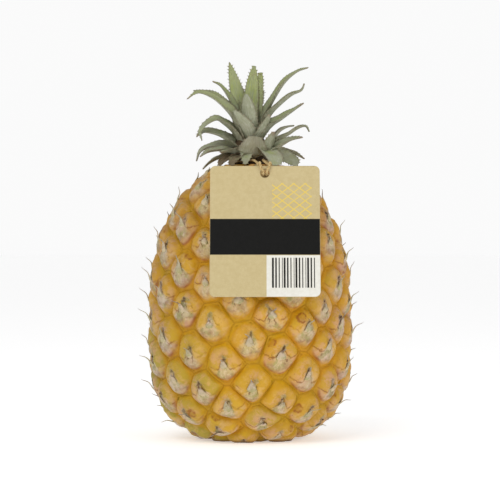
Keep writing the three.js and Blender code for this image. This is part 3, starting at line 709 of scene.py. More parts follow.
def eye_skin(eye, centre, cell):
    """The points of one eye, its middle first and then ring by ring, with their values."""
    along = (np.arange(EYE_SIDE_STEPS) / EYE_SIDE_STEPS)[None, :, None]
    after = np.roll(cell, -1, axis=0)
    loop = (cell[:, None] * (1 - along) + after[:, None] * along).reshape(-1, 3)
    shares = 1 - (1 - np.arange(1, EYE_RINGS + 1) / EYE_RINGS) ** RING_CROWDING
    rings = centre + (loop[None] - centre) * shares[:, None, None]
    flat = warped(unit(np.vstack([centre[None], rings.reshape(-1, 3)])))
    places = fruit_frames(flat)
    # How near each direction is to the sides of its cell: 0 in the middle, 1 on a side
    inward = unit(np.cross(cell, after))
    nearness = np.clip(1 - (flat @ inward.T) / (inward @ centre), 0, None)
    share = np.minimum((nearness ** EYE_ROUNDING).sum(1) ** (1 / EYE_ROUNDING), 1)
    plain = np.concatenate([[0.0], np.repeat(shares, len(loop))])
    share = blend(share, plain, smooth(plain, EYE_ROUNDING_END, 1))
    own = fruit_frames(centre)
    half = own["eyeSize"][0] / 2
    away = places["origin"] - own["origin"][0]
    upright = away @ own["upward"][0] / half
    tilt = TONGUE_TILT * draw_about("tongueTilt", eye)
    side = away @ own["across"][0] / half - tilt * (upright + TONGUE_TILT_CENTRE)
    fall = share ** (PILLOW_POWER + UPPER_STEEPNESS * np.clip(upright, -0.5, 1))
    height = eye_lift(eye) * (1 - fall) - (GROOVE_DEPTH - EYE_LIFT) * fall
    relief, inside = eye_relief(side, upright, share, eye)
    lumps = sum(rise * noise_at(places["origin"], size) for rise, size in LUMPS)
    height = height + relief + lumps * (1 - smooth(plain, LUMP_FADE, 1))
    return places["origin"] + places["normal"] * height[:, None], {
        "eye_side": side,
        "eye_up": upright - apex_height(eye),
        "eye_share": share,
        "eye_in": inside,
        "eye_tone": np.full(len(side), draw("eyeTone", eye)),
        "eye_blush": np.full(len(side), draw("eyeBlush", eye)),
    }


def fruit_skin(directions, cells):
    points, kept, faces, borders = [], [], [], []
    start = 0
    for eye, (centre, cell) in enumerate(zip(directions, cells)):
        made, values = eye_skin(eye, centre, cell)
        points.append(made)
        kept.append(values)
        count = len(cell) * EYE_SIDE_STEPS
        for at in range(count):
            ahead = (at + 1) % count
            faces.append((start, start + 1 + at, start + 1 + ahead))
        for ring in range(EYE_RINGS - 1):
            low = start + 1 + ring * count
            for at in range(count):
                ahead = (at + 1) % count
                faces.append((low + at, low + count + at, low + count + ahead, low + ahead))
        start += len(made)
        borders.extend(range(start - count, start))
    points = seat_points(np.vstack(points))
    # The rings that neighbours share become one
    same = {}
    renamed = np.arange(len(points))
    for at in borders:
        renamed[at] = same.setdefault(tuple(np.round(points[at], MERGE_DIGITS)), at)
    used, numbers = np.unique(renamed, return_inverse=True)
    merged, corners = [], []
    for face in faces:
        new = [int(numbers[at]) for at in face]
        if len(set(new)) == len(new):
            merged.append(new)
            corners.extend(face)
    values = {name: np.concatenate([one[name] for one in kept])[corners] for name in kept[0]}
    return make_object("fruit_rind", points[used], merged, values, "CORNER")


def is_under_tag(point):
    return (
        point[1] < 0
        and abs(point[0] - TAG_CENTRE_X) < TAG_WIDTH / 2 + TAG_SHADOW_SIDE
        and abs(point[2] - TAG_CENTRE_HEIGHT) < TAG_HEIGHT / 2 + TAG_SHADOW_END
    )


def spine_line(own, eye, lift):
    """The midline of a bract and its spine in the eye's frame, bent and ended as the CAD's."""
    scale = own["eyeSize"][0] / EYE_SIZE
    pressed = is_under_tag(own["origin"][0])
    foot = lift + BRACT_FOOT_LIFT
    length = (SPINE_LENGTH + SPINE_LENGTH_SPREAD * draw_about("spineLength", eye)) * scale
    lean = SPINE_LEAN + SPINE_LEAN_SPREAD * draw_about("spineLean", eye)
    if pressed:
        length *= PRESSED_LENGTH_SHARE
        lean = PRESSED_LEAN
    sway = math.radians(SPINE_SWAY * draw_about("spineSway", eye))
    start = math.radians(lean + SPINE_CURL / 2)
    end = math.radians(lean - (0 if pressed else SPINE_CURL / 2))
    low, reach = length * BRACT_BEND_SHARE, length * (1 - BRACT_BEND_SHARE)
    bend = np.array([0.0, low * math.sin(start), foot + low * math.cos(start)])
    tip_up = bend[1] + reach * math.sin(end)
    tip = np.array([tip_up * math.tan(sway), tip_up, bend[2] + reach * math.cos(end)])
    tip = bend + (tip - bend) * SPINE_TRIM
    knee = bend + (tip - bend) * SPINE_KNEE
    knee += [SPINE_KNEE_SWAY * draw_about("bractCurl", eye), 0, SPINE_KNEE_RISE]
    base = np.array([0.0, BRACT_FOOT_START[0] * scale, lift + BRACT_FOOT_START[1]])
    front = np.array([0.0, BRACT_FOOT_END[0] * scale, foot + BRACT_FOOT_END[1]])
    return curve_through([base, front, bend, knee, tip], BLADE_STEPS)


def add_blade(build, own, line, widths, thickness, hollow, tone, lanes=5):
    """A thin curved blade along a line in an eye's frame, ending in a point."""
    rings = []
    total = len(line) - 1
    for at, point in enumerate(line):
        ahead, behind = line[min(at + 1, total)], line[max(at - 1, 0)]
        along = unit(ahead - behind)
        across = unit(np.array([1.0, 0.0, 0.0]) - along * along[0])
        out = np.cross(across, along)
        share = at / total
        ring = []
        for face in (1, -1):
            for lane in np.linspace(-1, 1, lanes)[::face]:
                bow = hollow * widths[at] * (1 - lane ** 2)
                shell = thickness[at] / 2 * face * (1 - BLADE_THINNING * lane ** 2)
                spot = place(own, *(point + across * lane * widths[at] + out * (bow + shell)))
                ring.append(build.add(spot, blade_t=share, blade_x=lane, blade_tone=tone))
        rings.append(ring)
    build.rings(rings)


def fruit_bracts(directions):
    bracts, flowers = (Build("blade_t", "blade_x", "blade_tone") for _ in range(2))
    for eye, centre in enumerate(directions):
        own = fruit_frames(centre)
        if not BRACT_LOW_LIMIT <= own["origin"][0][2] <= BRACT_HIGH_LIMIT:
            continue
        lift, scale = eye_lift(eye), own["eyeSize"][0] / EYE_SIZE
        line, shares = spine_line(own, eye, lift)
        broad = (BRACT_HALF_WIDTH + BLADE_SPREAD * draw_about("bractWidth", eye)) * scale
        widths = [part * broad for part in BLADE_WIDTHS] + SPINE_WIDTHS
        widths = np.interp(shares, BLADE_WIDTH_AT, widths)
        thickness = np.interp(shares, BLADE_THICKNESS_AT, BLADE_THICKNESSES)
        add_blade(bracts, own, line, widths, thickness, BLADE_HOLLOW, draw("bractTone", eye))
        if draw("flowerLeft", eye) < FLOWER_SHARE:
            add_flower(flowers, own, eye, lift, scale)
    return bracts.finish("fruit_bracts"), flowers.finish("fruit_withered_flowers")


def add_flower(build, own, eye, lift, scale):
    """The shrivelled flower at the top of a bract: a few short curled scraps."""
    size = (1 + FLOWER_SIZE_SPREAD * draw_about("flowerSize", eye)) * scale
    up = apex_height(eye) * own["eyeSize"][0] / 2
    root = np.array([0.0, up + FLOWER_ROOT[0], lift + FLOWER_ROOT[1]])
    for scrap in range(FLOWER_SCRAPS):
        turn = (scrap - 1) * FLOWER_FAN
        turn += FLOWER_TURN_SPREAD * draw_about("flowerTurn", eye * FLOWER_SCRAPS + scrap)
        reach = size * (FLOWER_REACH[0] + FLOWER_REACH[1] * draw("flowerSize", eye * 5 + scrap))
        across, upward = (part(math.radians(turn)) * reach for part in (math.sin, math.cos))
        middle = root + [across / 2, upward / 2, FLOWER_RISES[0]]
        tip = root + [across, upward, FLOWER_RISES[1]]
        line, shares = curve_through([root, middle, tip], 6)
        widths = np.interp(shares, [0, 0.5, 1], [0.5, 0.55 * scale, 0.12])
        thickness = np.interp(shares, [0, 1], [0.5, 0.2])
        add_blade(
            build, own, line, widths, thickness, FLOWER_HOLLOW, draw("bractTone", eye), lanes=3,
        )


# ---- crown ----


def turned(vector, axis, angle):
    cos, sin = math.cos(angle), math.sin(angle)
    return vector * cos + np.cross(axis, vector) * sin + axis * (axis @ vector) * (1 - cos)


def leaf_frame(leaf, share):
    origin = path_point(leaf["path"], share)
    ahead = path_point(leaf["path"], min(share + LEAF_SLOPE_STEP, 1))
    behind = path_point(leaf["path"], max(share - LEAF_SLOPE_STEP, 0))
    along = unit(ahead - behind)
    root, tip = leaf["path"][0], leaf["path"][-1]
    turn = math.atan2(tip[1] - root[1], tip[0] - root[0])
    if "turn" in leaf:
        turn = math.radians(leaf["turn"])
    level = np.array([-math.sin(turn), math.cos(turn), 0.0])
    across = unit(level - along * (level @ along))
    across = turned(across, along, math.radians(leaf.get("roll", 0)))
    return origin, along, across, np.cross(along, across)


def leaf_half_width(leaf, share):
    return leaf["width"] / 2 * (1 - share) ** leaf["taper"] * (1 + LEAF_MIDDLE_SWELL * share)


def back_leaves():
    leaves = []
    for leaf in range(BACK_LEAF_COUNT):
        rank = leaf / (BACK_LEAF_COUNT - 1)
        between = {key: blend(low, BACK_LEAF_HIGH[key], rank) for key, low in BACK_LEAF_LOW.items()}
        turn = BACK_LEAF_MIDDLE_TURN + ((leaf * GOLDEN_SHARE) % 1 - 0.5) * between["fan"]
        step = between["length"] / (BACK_LEAF_POINTS - 1)
        radius, height = BACK_LEAF_ROOT_RADIUS, between["root"]
        path = []
        for point in range(BACK_LEAF_POINTS):
            share = point / (BACK_LEAF_POINTS - 1)
            heading = math.radians(turn + BACK_LEAF_SWERVE * share * draw_about("leafSwerve", leaf))
            path.append((radius * math.cos(heading), radius * math.sin(heading), height))
            pitch = math.radians(blend(between["rise"], between["droop"], share))
            radius += step * math.cos(pitch)
            height += step * math.sin(pitch)
        leaves.append(seen(between["width"], BACK_LEAF_TAPER, *path))
    return leaves


def leaf_stations(leaf):
    """Shares along a leaf, with the tooth that each belongs to and how far it reaches."""
    teeth = max(FEWEST_TEETH, round(lengths_along(np.array(leaf["path"], float))[-1] / TOOTH_PITCH))
    stations = [
        ((tooth + at) / teeth, reach, tooth) for tooth in range(teeth) for at, reach in TOOTH_OUTLINE
    ]
    return [station for station in stations if station[0] < LAST_STATION]


def leaf_faces():
    """The lanes round a leaf's section: over its upper face and back under it."""
    return [(face, lane) for face in (1, -1) for lane in LEAF_LANES[::face]]


def add_leaf(build, leaf, number):
    blunt = leaf["taper"] < BLUNT_TAPER
    same = {
        "leaf_tone": draw("leafTone", number),
        "leaf_dry": BLUNT_DRYNESS if blunt else draw("leafDry", number),
        "leaf_worn": leaf.get("worn", 0),
    }
    rings = []
    for share, reach, tooth in leaf_stations(leaf):
        origin, along, across, inner = leaf_frame(leaf, share)
        half = leaf_half_width(leaf, share)
        raise_by = LEAF_CHANNEL * half * (1 - LEAF_CHANNEL_FLATTENING * share)
        thickness = blend(LEAF_ROOT_THICKNESS, LEAF_TIP_THICKNESS, share)
        ring = []
        for face, lane in leaf_faces():
            rim, side = abs(lane), 1 if lane > 0 else 2
            if rim == 1:
                drawn = draw("toothReach", number * TOOTH_DRAWS + tooth * 2 + side)
                grown = TOOTH_LEAST + TOOTH_SPREAD * drawn
                extra = TOOTH_REACH * reach * grown * min(1, half)
                body = LEAF_EDGE_THICKNESS * (1 - TOOTH_THINNING * reach)
            else:
                extra = 0
                body = max(LEAF_EDGE_THICKNESS, thickness * (1 - rim ** LEAF_BODY_POWER))
            phase = MARGIN_WAVE_SHIFT * draw("marginWave", number + side)
            wave = MARGIN_WAVE * math.sin(share * MARGIN_WAVE_PITCH + phase) * lane ** 2
            bow = raise_by * rim ** LEAF_BOW_POWER + wave * min(1, half / 2)
            spot = origin + across * (lane * half + math.copysign(extra, lane))
            spot = spot + along * (TOOTH_SWEEP * extra) + inner * (bow + face * body / 2)
            ring.append(build.add(
                spot, leaf_x=lane, leaf_s=share, leaf_top=face > 0,
                leaf_tooth=reach if rim == 1 else 0, **same,
            ))
        rings.append(ring)
    build.rings(rings, close_end=False)
    tip = build.add(path_point(leaf["path"], 1), leaf_s=1, leaf_top=0.5, **same)
    last = rings[-1]
    build.faces.extend((last[at], last[(at + 1) % len(last)], tip) for at in range(len(last)))


def add_core(build):
    """The short stem of the crown, ridged by the bases of its lowest leaves."""
    profile = np.array(CROWN_CORE, float)
    lengths = lengths_along(profile)
    lengths /= lengths[-1]
    rings = []
    for step in np.linspace(0, 1, CORE_STEPS):
        radius, height = (np.interp(step, lengths, profile[:, at]) for at in (0, 1))
        ring = []
        for side in range(CORE_SIDES):
            turn = 2 * math.pi * side / CORE_SIDES
            ridge = abs(math.sin(CORE_RIDGES * turn + height * CORE_RIDGE_SLANT)) - 1
            ridge *= CORE_RIDGE_DEPTH * min(1, radius / CORE_RIDGE_RADIUS)
            out = max(radius + ridge, CORE_LEAST_RADIUS)
            ring.append(build.add(
                (out * math.cos(turn), out * math.sin(turn), height),
                leaf_x=math.sin(2 * CORE_RIDGES * turn), leaf_dry=0.5,
            ))
        rings.append(ring)
    build.rings(rings)


def add_neck_scales(build):
    """The small dried leaf bases wrapped round the bottom of the crown's stem."""
    for number in range(SCALE_COUNT):
        turn = 360 * ((number * GOLDEN_SHARE) % 1)
        heading = math.radians(turn + SCALE_TURN_SPREAD * draw_about("scaleTurn", number))
        low = SCALE_LOW + SCALE_CLIMB * number / SCALE_COUNT
        tall = SCALE_HEIGHT + SCALE_HEIGHT_SPREAD * draw("scaleTurn", number + 40)
        path = [
            (out * math.cos(heading), out * math.sin(heading), low + up * tall)
            for out, up in SCALE_PROFILE
        ]
        scale = seen(SCALE_WIDTH, SCALE_TAPER, *path)
        rings = []
        for share in SCALE_STATIONS:
            origin, _, across, inner = leaf_frame(scale, share)
            half = leaf_half_width(scale, share)
            ring = []
            for face, lane in leaf_faces():
                bow = SCALE_BOW * half * abs(lane) ** SCALE_BOW_POWER + face * SCALE_HALF_THICKNESS
                spot = origin + across * lane * half + inner * bow
                ring.append(build.add(spot, leaf_x=lane, leaf_dry=draw("scaleTurn", number + 80)))
            rings.append(ring)
        build.rings(rings)


def make_crown():
    build = Build("leaf_x", "leaf_s", "leaf_top", "leaf_tone", "leaf_dry", "leaf_tooth", "leaf_worn")
    for number, leaf in enumerate([*SEEN_LEAVES, *back_leaves()]):
        add_leaf(build, leaf, number)
    stem = Build("leaf_x", "leaf_dry")
    add_core(stem)
    add_neck_scales(stem)
    return build.finish("crown_leaves"), stem.finish("crown_neck")


# ---- tag and cord ----

def tag_frame():
    lean = math.radians(TAG_LEAN)
    reach = (OUTLINE["radius"] * math.cos(lean) + OUTLINE["height"] * math.sin(lean)).max()
    depth = (TAG_CENTRE_HEIGHT * math.sin(lean) - reach - TAG_CLEARANCE) / math.cos(lean)
    return {
        "origin": np.array([[TAG_CENTRE_X, depth, TAG_CENTRE_HEIGHT]]),
        "across": np.array([[1.0, 0.0, 0.0]]),
        "upward": np.array([[0.0, math.sin(lean), math.cos(lean)]]),
        "normal": np.array([[0.0, -math.cos(lean), math.sin(lean)]]),
    }


def card_outline():
    right, top = TAG_WIDTH / 2 - TAG_CORNER_RADIUS, TAG_HEIGHT / 2 - TAG_CORNER_RADIUS
    points = []
    for x, y, start in ((right, top, 0), (-right, top, 90), (-right, -top, 180), (right, -top, 270)):
        for step in range(CARD_CORNER_STEPS + 1):
            angle = math.radians(start + 90 * step / CARD_CORNER_STEPS)
            offset = np.array([math.cos(angle), math.sin(angle)]) * TAG_CORNER_RADIUS
            points.append(np.array([x, y]) + offset)
    spread = []
    for point, ahead in zip(points, [*points[1:], points[0]]):
        parts = max(1, round(np.linalg.norm(ahead - point) / CARD_EDGE_STEP))
        spread.extend(point + (ahead - point) * part / parts for part in range(parts))
    return np.array(spread)


def make_tag(own):
    """The card: a flat sheet with soft edges and a punched hole."""
    outer = card_outline()
    hole = np.array([0.0, TAG_HEIGHT / 2 - TAG_HOLE_DROP])
    outward = unit(outer - hole)
    inner = hole + TAG_HOLE_RADIUS * outward
    lanes = [inner + (outer - inner) * share for share in CARD_LANES]
    lanes[0] = inner + outward * CARD_SOFTNESS
    lanes[-1] = outer * (1 - 2 * CARD_SOFTNESS / np.array([TAG_WIDTH, TAG_HEIGHT]))
    build = Build("card_x", "card_y", "card_front")

    def ring(flat, out, front=0.5):
        return [
            build.add(place(own, x, y, out), card_x=x, card_y=y, card_front=front)
            for x, y in flat
        ]

    high, low = TAG_THICKNESS - CARD_SOFTNESS, CARD_SOFTNESS
    rings = [ring(flat, TAG_THICKNESS, 1) for flat in lanes]
    rings += [ring(outer, high), ring(outer, low)]
    rings += [ring(flat, 0.0, 0) for flat in lanes[::-1]]
    rings += [ring(inner, low), ring(inner, high), rings[0]]
    build.rings(rings, close_start=False, close_end=False)
    return build.finish("tag_card")


def frames_along(line):
    """Side and up at each point of a line, carried along it without twist."""
    tangents = unit(np.gradient(line, axis=0))
    side = unit(np.cross(tangents[0], [0.3, 0.2, 0.9]))
    frames = []
    for tangent in tangents:
        side = unit(side - tangent * (side @ tangent))
        frames.append((side, np.cross(tangent, side)))
    return frames


def add_twine(build, line, radius):
    """Twisted plies along a line."""
    ply = radius * PLY_SHARE
    spots = list(zip(line, lengths_along(line), frames_along(line)))
    for strand in range(TWINE_PLIES):
        rings = []
        for point, far, (side, up) in spots:
            turn = 2 * math.pi * (far / TWINE_PITCH + strand / TWINE_PLIES)
            thick = ply * (1 + PLY_FUZZ * math.sin(far * PLY_FUZZ_PITCH + strand))
            centre = point + (side * math.cos(turn) + up * math.sin(turn)) * (radius - ply)
            ring = []
            for corner in range(TWINE_SIDES):
                angle = 2 * math.pi * corner / TWINE_SIDES
                out = (side * math.cos(angle) + up * math.sin(angle)) * thick
                ring.append(build.add(centre + out, twine_a=angle, twine_l=far + 2 * strand))
            rings.append(ring)
        build.rings(rings)


def make_cord(own):
    top = TAG_HEIGHT / 2

    def strand(side):
        points = [place(own, side * across, top + up, out) for across, up, out in CORD_STRAND]
        return [*points, np.array(CORD_SHOULDER) + [side * CORD_SHOULDER_SPREAD, 0, 0]]

    turns = np.radians(CORD_LOOP_TURNS)
    loop = np.stack([np.cos(turns), np.sin(turns), np.zeros(len(turns))], 1) * CORD_LOOP_RADIUS
    loop += [0, 0, CORD_LOOP_HEIGHT]
    build = Build("twine_a", "twine_l")
    line = centripetal([*strand(-1), *loop, *strand(1)[::-1]], TWINE_STEPS)
    add_twine(build, line, CORD_RADIUS)
    turns = np.linspace(0, 2 * math.pi, KNOT_STEPS)
    size = CORD_KNOT_RADIUS - CORD_RADIUS
    wide = (2 + np.cos(3 * turns)) / 3
    knot = np.stack([
        wide * np.cos(2 * turns), wide * np.sin(2 * turns), np.sin(3 * turns) * KNOT_HEIGHT,
    ], 1) * size
    knot += place(own, 0, top - TAG_HOLE_DROP, -CORD_KNOT_SETBACK)
    add_twine(build, knot, CORD_RADIUS * KNOT_CORD_SHARE)
    return build.finish("tag_twine")


# ---- materials ----

def linear(red, green, blue):
    def one(value):
        value /= 255
        return value / 12.92 if value <= 0.04045 else ((value + 0.055) / 1.055) ** 2.4
    return (one(red), one(green), one(blue), 1.0)


class Field:
    """A value of a material's node tree, reckoned with like a number."""

    def __init__(self, owner, socket):
        self.owner = owner
        self.socket = socket

    def __add__(self, other):
        return self.owner.math("ADD", self, other)

    def __radd__(self, other):
        return self.owner.math("ADD", other, self)

    def __sub__(self, other):
        return self.owner.math("SUBTRACT", self, other)

    def __rsub__(self, other):
        return self.owner.math("SUBTRACT", other, self)

    def __mul__(self, other):
        return self.owner.math("MULTIPLY", self, other)

    def __abs__(self):
        return self.owner.math("ABSOLUTE", self)


class Material:
    """A node material: colours, values and patterns by name, ending in one shader."""

    def __init__(self, name):
        self.material = bpy.data.materials.new(name)
        self.material.use_nodes = True
        self.tree = self.material.node_tree
        self.tree.nodes.clear()
        output = self.tree.nodes.new("ShaderNodeOutputMaterial")
        self.shader = self.tree.nodes.new("ShaderNodeBsdfPrincipled")
        self.tree.links.new(self.shader.outputs["BSDF"], output.inputs["Surface"])
        self.places = self.node("TexCoord", "Object")

    def give(self, socket, value):
        """Links a field to a socket, or sets it to a number or to red, green and blue."""
        if isinstance(value, Field):
            self.tree.links.new(value.socket, socket)
        elif isinstance(value, tuple):
            socket.default_value = linear(*value) if len(value) == 3 else value
        else:
            socket.default_value = value

    def node(self, kind, output, inputs=(), **settings):
        """The output of a new node, with its inputs given in order or by name."""
        made = self.tree.nodes.new("ShaderNode" + kind)
        for name, value in settings.items():
            setattr(made, name, value)
        for key, value in inputs.items() if isinstance(inputs, dict) else enumerate(inputs):
            self.give(made.inputs[key], value)
        if isinstance(output, (list, range)):
            return [Field(self, made.outputs[key]) for key in output]
        return Field(self, made.outputs[output])

    def attribute(self, name):
        return self.node("Attribute", "Fac", attribute_name=name)

    def math(self, operation, *values):
        return self.node("Math", 0, values, operation=operation)

    def ramp(self, value, low, high, start=0.0, end=1.0):
        inputs = (value, low, high, start, end)
        return self.node("MapRange", 0, inputs, interpolation_type="SMOOTHSTEP")

    def mix(self, share, first, second, kind="MIX"):
        inputs = {"Factor": share, 6: first, 7: second}
        return self.node("Mix", 2, inputs, data_type="RGBA", blend_type=kind)

    def noise(self, scale, detail=3.0, rough=0.55, warp=0.0, vector=None, output="Fac"):
        return self.node("TexNoise", output, {
            "Scale": scale, "Detail": detail, "Roughness": rough, "Distortion": warp,
            "Vector": vector or self.places,
        })

    def spots(self, scale, vector=None):
        """Distances from scattered points, and a colour drawn for each of them."""
        inputs = {"Scale": scale, "Vector": vector or self.places}
        return self.node("TexVoronoi", ["Distance", "Color"], inputs)

    def combine(self, *values):
        return self.node("CombineXYZ", 0, values)

    def separate(self, vector):
        return self.node("SeparateXYZ", range(3), [vector])

    def shaken(self, reach, shake):
        """Places moved about by up to half the reach each way."""
        where = self.separate(self.places)
        return self.combine(*(value + (move - 0.5) * reach for value, move in zip(where, shake)))

    def bump(self, height, distance, strength=1.0):
        inputs = {"Strength": strength, "Distance": distance, "Height": height}
        self.give(self.shader.inputs["Normal"], self.node("Bump", "Normal", inputs))

    def finish(self, colour, roughness, **sockets):
        self.give(self.shader.inputs["Base Color"], colour)
        self.give(self.shader.inputs["Roughness"], roughness)
        for name, value in sockets.items():
            self.shader.inputs[name.replace("_", " ")].default_value = value
        return self.material


def rind_material():
    m = Material("rind_skin")
    side, upright, share, inside = map(m.attribute, ("eye_side", "eye_up", "eye_share", "eye_in"))
    tone, blush = map(m.attribute, ("eye_tone", "eye_blush"))
    broad, coarse = m.noise(28, 2), m.noise(80, 3, 0.6, 0.5)
    mid, fine = m.noise(150, 4, 0.55, 0.3), m.noise(900, 5, 0.65)
    where = m.separate(m.places)
    # Places in the eye, shaken so that no outline in it is even
    shake = m.separate(m.noise(130, 3, 0.6, output="Color"))
    ripple = m.separate(m.noise(420, 3, 0.6, output="Color"))
    side = side + ((shake[0] - 0.5) * 0.8 + (ripple[0] - 0.5) * 0.25)
    upright = upright + ((shake[1] - 0.5) * 0.8 + (ripple[1] - 0.5) * 0.25)
    # Rays out from the tip of the bract, for streaks, creases and the papery wedge below
    radius = m.math("SQRT", side * side + upright * upright)
    angle = m.math("ARCTAN2", side, 0.05 - upright)
    spread = abs(angle)
    rays = m.noise(1, 4, 0.65, vector=m.combine(angle * 3.4, radius * 2.2, tone * 17))
    gold = m.mix(m.ramp(tone, 0, 1), (216, 170, 16), (224, 170, 22))
    gold = m.mix(m.ramp(mid, 0.35, 0.7), gold, (206, 150, 12))
    gold = m.mix(m.ramp(coarse, 0.42, 0.62) * 0.5, gold, (206, 168, 34))
    gold = m.mix(m.ramp(broad, 0.4, 0.65) * 0.5, gold, (208, 144, 18))
    # Greener low down and on one side, where the fruit ripened last
    low = m.ramp(where[2], 0.09, 0.015)
    left = m.ramp(where[0], 0.005, -0.045)
    green_share = low * 0.25 + left * low * 0.9
    green_share = green_share * m.ramp(broad + tone * 0.4, 0.35, 0.9)
    green_share = green_share + m.ramp(tone, 0.7, 1.0) * 0.3
    skin = m.mix(green_share, gold, (174, 160, 44))
    # Peach patches beside and below the tip of the bract
    near = m.ramp(radius + upright * 0.5, 1.25, 0.45)
    patchy = m.ramp(mid + (rays - 0.5) * 0.7, 0.42, 0.6)
    peach = m.mix(m.ramp(coarse, 0.42, 0.6), (226, 184, 108), (222, 174, 128))
    skin = m.mix(near * (0.2 + patchy * 0.6), skin, peach)
    # The bract's broad base, a little duller, streaked
    base = m.mix(m.ramp(rays, 0.4, 0.6), (212, 168, 74), (222, 184, 132))
    base = m.mix(m.ramp(blush, 0.4, 1.0) * m.ramp(coarse, 0.42, 0.6), base, (214, 164, 132))
    flap = m.ramp(inside, 0.0, 0.12) * m.ramp(share, 1.0, 0.8)
    skin = m.mix(flap * m.ramp(coarse, 0.35, 0.6, 0.35, 0.9), skin, base)
    # Duller and browner high on the shoulders: partly brown marks, partly painted shade
    shoulder_brown_and_shade = m.ramp(where[2], 0.085, 0.14) * m.ramp(coarse, 0.38, 0.6, 0.15, 0.5)
    skin = m.mix(shoulder_brown_and_shade, skin, (170, 122, 66))
    # The papery wedge: grey-green, white and pink patches with a ragged outline
    wide = 0.3 + blush * 0.28
    wedge = m.ramp(spread - wide, 0.32, -0.12) * m.ramp(radius, 1.45, 1.0)
    wedge = m.math("MAXIMUM", wedge, m.ramp(radius, 0.26, 0.1) * 0.7)
    paper = m.mix(m.ramp(mid, 0.4, 0.58), (172, 166, 114), (208, 190, 152))
    paper = m.mix(m.ramp(rays, 0.46, 0.62, 0.0, 0.75), paper, (226, 206, 182))
    paper = m.mix(m.ramp(shake[2], 0.5, 0.62) * 0.5, paper, (208, 168, 144))
    worn = m.ramp(radius, 0.8, 1.1) * m.ramp(ripple[2], 0.4, 0.6, 0.1, 0.65)
    paper = m.mix(worn, paper, (150, 106, 84))
    skin = m.mix(wedge * m.ramp(fine, 0.25, 0.5, 0.7, 0.95), skin, paper)
    # Thin brown streaks along the wedge, and a brown line along the crease at the bract's margin,
    # broken up, partly painted shade in the crease
    cracks = m.ramp(rays, 0.41, 0.36) * m.ramp(spread - wide, 0.6, 0.2) * m.ramp(radius, 1.1, 0.7)
    skin = m.mix(cracks * 0.8, skin, (128, 92, 62))
    line = m.ramp(inside, -0.09, -0.02) * m.ramp(inside, 0.05, -0.005)
    skin = m.mix(line * m.ramp(coarse, 0.42, 0.62, 0.0, 0.75), skin, (150, 90, 46))
    # Brown rings and discs, and small freckles
    away, drawn = m.spots(66, m.shaken(0.004, shake))
    away = away + (mid - 0.5) * 0.12
    chosen = m.math("GREATER_THAN", m.separate(drawn)[0], 0.6)
    ring = m.ramp(away, 0.08, 0.15) * m.ramp(away, 0.24, 0.17)
    disc = m.ramp(away, 0.2, 0.1) * 0.45
    marks = chosen * m.math("MAXIMUM", ring * m.ramp(ripple[0], 0.4, 0.55, 0.3, 1.0), disc)
    skin = m.mix(marks * 0.85, skin, (156, 92, 26))
    freckles = m.ramp(m.spots(520)[0], 0.24, 0.08)
    skin = m.mix(freckles * m.ramp(mid, 0.5, 0.66, 0.0, 0.6), skin, (148, 100, 50))
    # A reddish line along the foot of an eye, here and there
    sill = m.ramp(share, 0.78, 0.9) * m.ramp(share, 0.98, 0.93)
    sill = sill * m.ramp(upright, -0.45, -1.0) * m.ramp(coarse, 0.42, 0.6, 0.15, 0.9)
    skin = m.mix(sill, skin, (160, 88, 50))
    # The withered flower's stain at the bract's tip, stronger in some eyes than in others
    stain = m.ramp(m.math("SQRT", side * side * 3.0 + upright * upright), 0.22, 0.06)
    skin = m.mix(stain * m.ramp(blush, 0.2, 1.0, 0.0, 0.8), skin, (104, 70, 52))
    # Amber down in the grooves, with painted shade darkening the bottom of each groove
    groove = m.mix(m.ramp(broad, 0.4, 0.62), (214, 156, 14), (206, 162, 18))
    skin = m.mix(m.ramp(share, 0.84, 0.99, 0.0, 0.9), skin, groove)
    skin = m.mix(m.ramp(share, 0.93, 1.0, 0.0, 0.3), skin, (164, 108, 8))
    foot = m.ramp(where[2], 0.0022, 0.0004) * m.ramp(mid, 0.2, 0.55, 0.5, 0.95)
    skin = m.mix(foot, skin, (128, 92, 44))
    # Painted shade: the flanks are darker than the front, the left one most, and so is the foot; on
    # the left it is partly the duller skin of the less ripe side
    shade_and_dull_tint = m.mix(m.ramp(where[0], 0.015, 0.055), (0.92, 0.88, 0.68, 1), (0.86, 0.82, 0.88, 1))
    shade_and_dull_tint = m.mix(m.ramp(where[0], -0.01, -0.052), shade_and_dull_tint, (0.77, 0.78, 0.82, 1))
    shade_and_dull_tint = m.mix(m.ramp(where[2], 0.04, 0.0), shade_and_dull_tint, (0.86, 0.87, 0.95, 1))
    skin = m.mix(1.0, skin, shade_and_dull_tint, "MULTIPLY")
    relief = (rays - 0.5) * (m.ramp(radius, 1.1, 0.3) * 1.4)
    m.bump(fine * 0.35 + (mid * 0.9 + relief), 0.0008, 0.8)
    return m.finish(skin, m.ramp(fine, 0.25, 0.75, 0.42, 0.6), Specular_IOR_Level=0.24)


